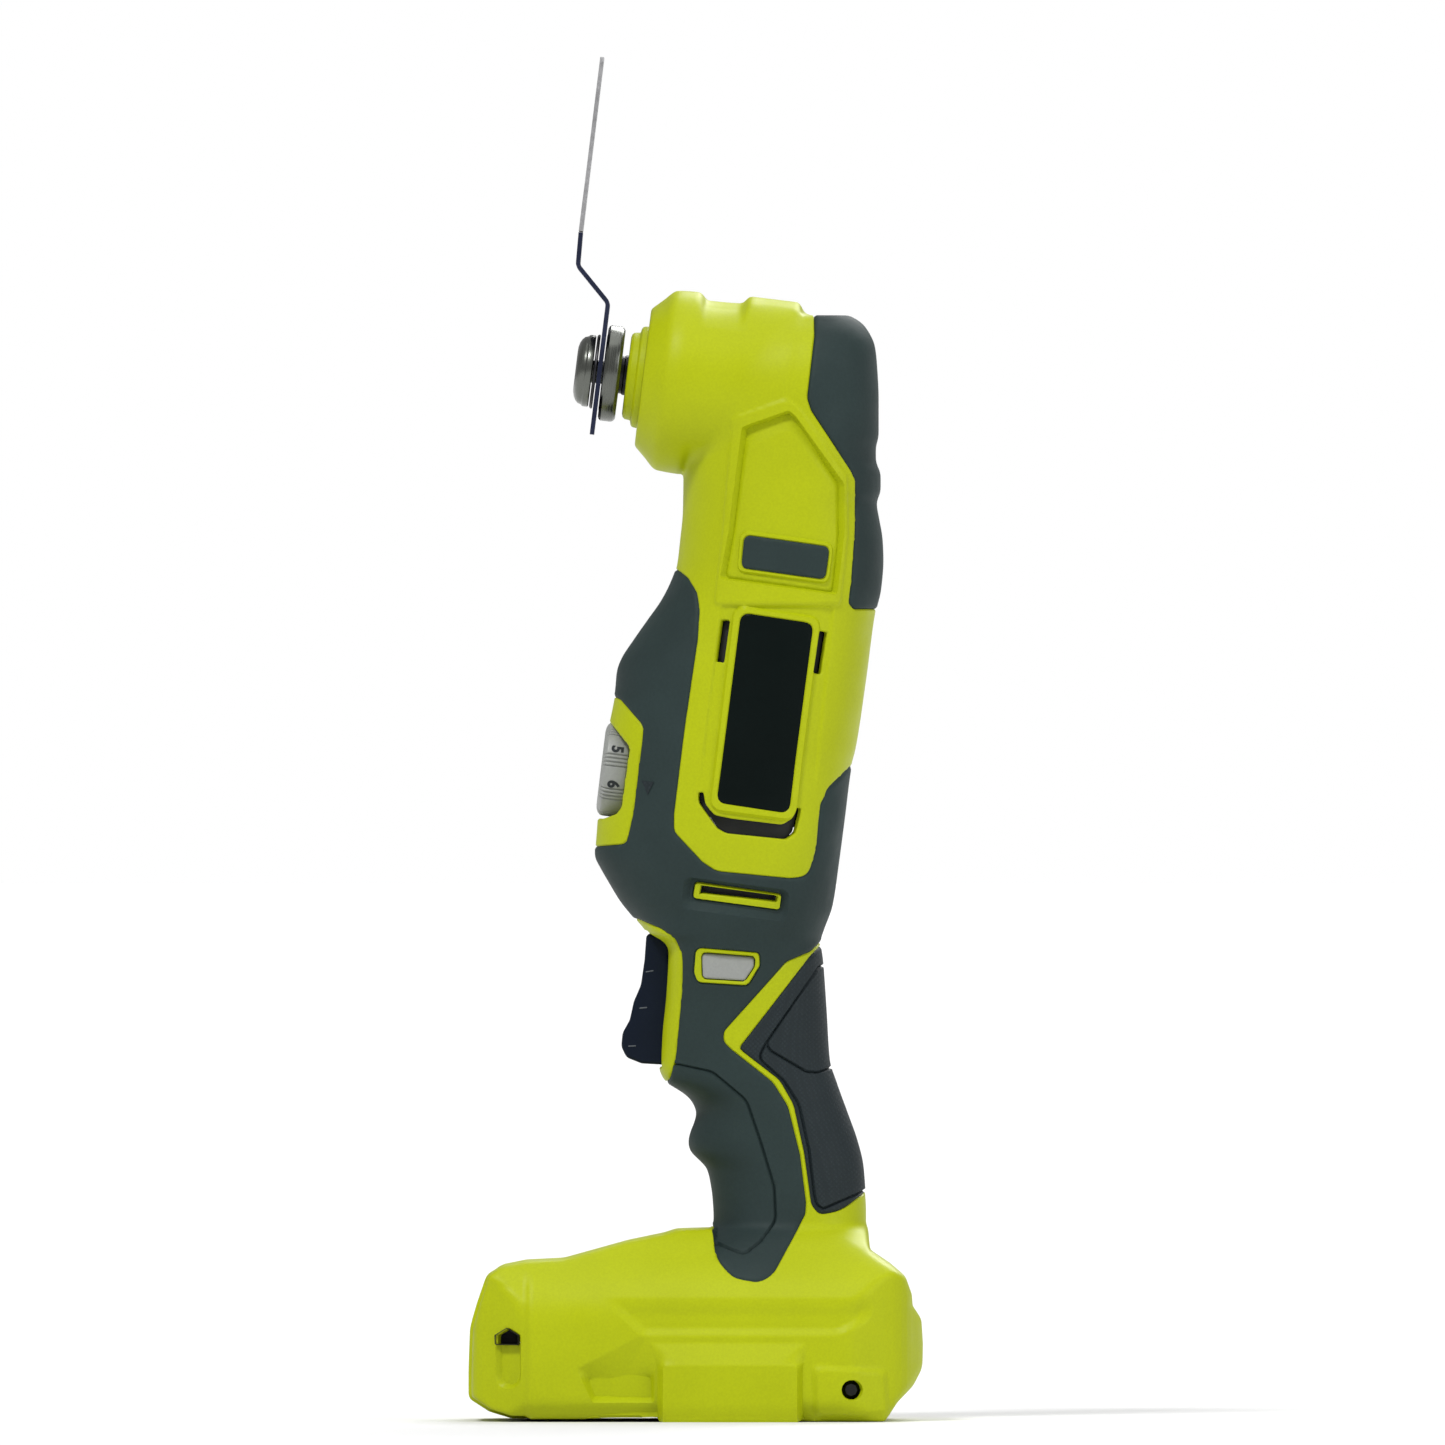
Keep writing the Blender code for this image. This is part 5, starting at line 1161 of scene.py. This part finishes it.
def lined_hole(name, outline, rings, depth, side):
    """The lining of an opening.

    Each ring is (size beside the outline's, how far below the surface, how far above the bottom).
    The height above the bottom counts where the one below the surface is None.
    """
    path = rounded(outline)
    centre = sum(path, Vector((0, 0))) / len(path)
    heights = surface_heights(path)
    bottom = min(heights) - depth
    verts = []
    for size, drop, above_bottom in rings:
        for point, height in zip(path, heights):
            at = centre + (point - centre) * size
            verts.append((at.x, side * (bottom + above_bottom if drop is None else height - drop), at.y))
    return mesh_object(name, verts, bands(len(rings), len(path), joined=True), 40)


WELL_RINGS = [
    (1, 0.3, 0), (0.94, 0.6, 0), (0.92, None, 0.8), (0.54, None, 0.8), (0.54, None, 0), (1.25, None, 0),
    (1.25, 1.5, 0),
]
CUP_RINGS = [
    (1, 0.35, 0), (0.96, None, 0.8), (0.03, None, 0.8), (0.03, None, 0), (1.15, None, 0), (1.15, 1.5, 0),
]
for index, (well, outline) in enumerate(WELLS.items()):
    made = lined_hole(f"screw_well_{index + 1}", outline, WELL_RINGS, 5.5, -1 if well == LEFT_WELL else 1)
    in_grip = index in (2, 3, 4, 5)
    finish_piece(made, "grip" if in_grip else "lime", "housing", "soft_grip" if in_grip else "lime_plastic")
nose_recess = lined_hole("nose_recess", OUTLINES["nose_hole"], CUP_RINGS, 6, -1)
finish_piece(nose_recess, "vent", "housing", "black_plastic")


def dial_recess():
    """The pocket's wall round the dial's hidden part, across the whole body."""
    outer = ((-21, 176.6), (-14.2, 175.7), (-17.3, 149.2), (-24, 149.6))
    inner = ((-21, 175.8), (-15, 175), (-18, 150), (-24, 150.4))
    reaches = [max(height - 1.6, 1) for height in surface_heights(inner)]
    rings = [
        [(a, -reach, b), (a, reach, b), (c, reach, d), (c, -reach, d)]
        for (a, b), (c, d), reach in zip(inner, outer, reaches)
    ]
    return ringed("dial_recess", rings)


finish_piece(dial_recess(), "lime", "housing", "lime_plastic")


def pointer_mark(name, side):
    """The small triangle beside the dial that the set number points to."""
    corners = ((-13.7, 160), (-10.6, 159.5), (-12.1, 156.4))
    heights = [abs(float(Y[np.argmin(np.hypot(X - x, Z - z))])) + 0.35 for x, z in corners]
    return ringed(name, [
        [(x, side * (height - depth), z) for (x, z), height in zip(corners, heights)] for depth in (0, 0.9)
    ])


for side, word in ((-1, "left"), (1, "right")):
    finish_piece(pointer_mark(f"dial_pointer_{word}", side), "rear", "housing", "black_plastic")

# ---------------------------------------------------------------- stage, light and camera

SKY_LIGHT = 0.37


def floor():
    """A plain pale floor on every side."""
    metres, spokes = (0.0, 0.6, 2.0, 6.0, 18.0, 40.0), 48
    verts = [(x / MM, y / MM, 0) for r in metres for x, y, _ in circle(0, 0, r, spokes)]
    made = mesh_object("floor", verts, bands(len(metres), spokes), 60, closed=False)
    n = Nodes("pale_floor", Roughness=0.7, Specular_IOR_Level=0.2)
    tint = n.ramp(n.noise(3, 2), (0.3, (0.76, 0.76, 0.76, 1)), (0.7, (0.775, 0.775, 0.775, 1)))
    n.link(tint, n.shader.inputs["Base Color"])
    made.data.materials.append(n.made)


def studio():
    """A world that is white to the camera, and dimmer as a light."""
    world = bpy.data.worlds.new("studio")
    world.use_nodes = True
    nodes, link = world.node_tree.nodes, world.node_tree.links.new
    nodes["Background"].inputs["Color"].default_value = (1, 1, 1, 1)
    strength = nodes.new("ShaderNodeMapRange")
    strength.inputs["To Min"].default_value, strength.inputs["To Max"].default_value = SKY_LIGHT, 1.0
    link(nodes.new("ShaderNodeLightPath").outputs["Is Camera Ray"], strength.inputs["Value"])
    link(strength.outputs["Result"], nodes["Background"].inputs["Strength"])
    bpy.context.scene.world = world


def lamp(name, away, power, spread):
    """A broad soft light, shining from far off in the direction away."""
    light = bpy.data.lights.new(name, "SUN")
    light.energy, light.angle = power, math.radians(spread)
    made = bpy.data.objects.new(name, light)
    made.location = Vector(away).normalized() * 3
    made.rotation_euler = Vector(away).to_track_quat("Z", "Y").to_euler()
    bpy.context.scene.collection.objects.link(made)


floor()
studio()
bpy.context.scene.view_settings.view_transform = "Standard"
lamp("key", (-0.6, -1.05, 1.5), 1.85, 12)
lamp("side", (1.3, -1.0, 0.7), 0.75, 30)
lamp("top", (0.2, 0.1, 1.8), 0.7, 50)
lamp("back", (0.5, 1.5, 1.1), 1.5, 30)

FRAME_WIDTH = 0.36125  # metres across the picture at the tool
TARGET = Vector((0.0066, 0.0, 0.1744))
camera = bpy.data.cameras.new("camera")
camera.sensor_width, camera.lens = 36.0, 1200.0
camera.clip_start, camera.clip_end = 0.1, 100
eye = bpy.data.objects.new("camera", camera)
bpy.context.scene.collection.objects.link(eye)
eye.location = TARGET + Vector((0, -FRAME_WIDTH * camera.lens / camera.sensor_width, 0))
eye.rotation_euler = (math.pi / 2, 0, 0)
bpy.context.scene.camera = eye
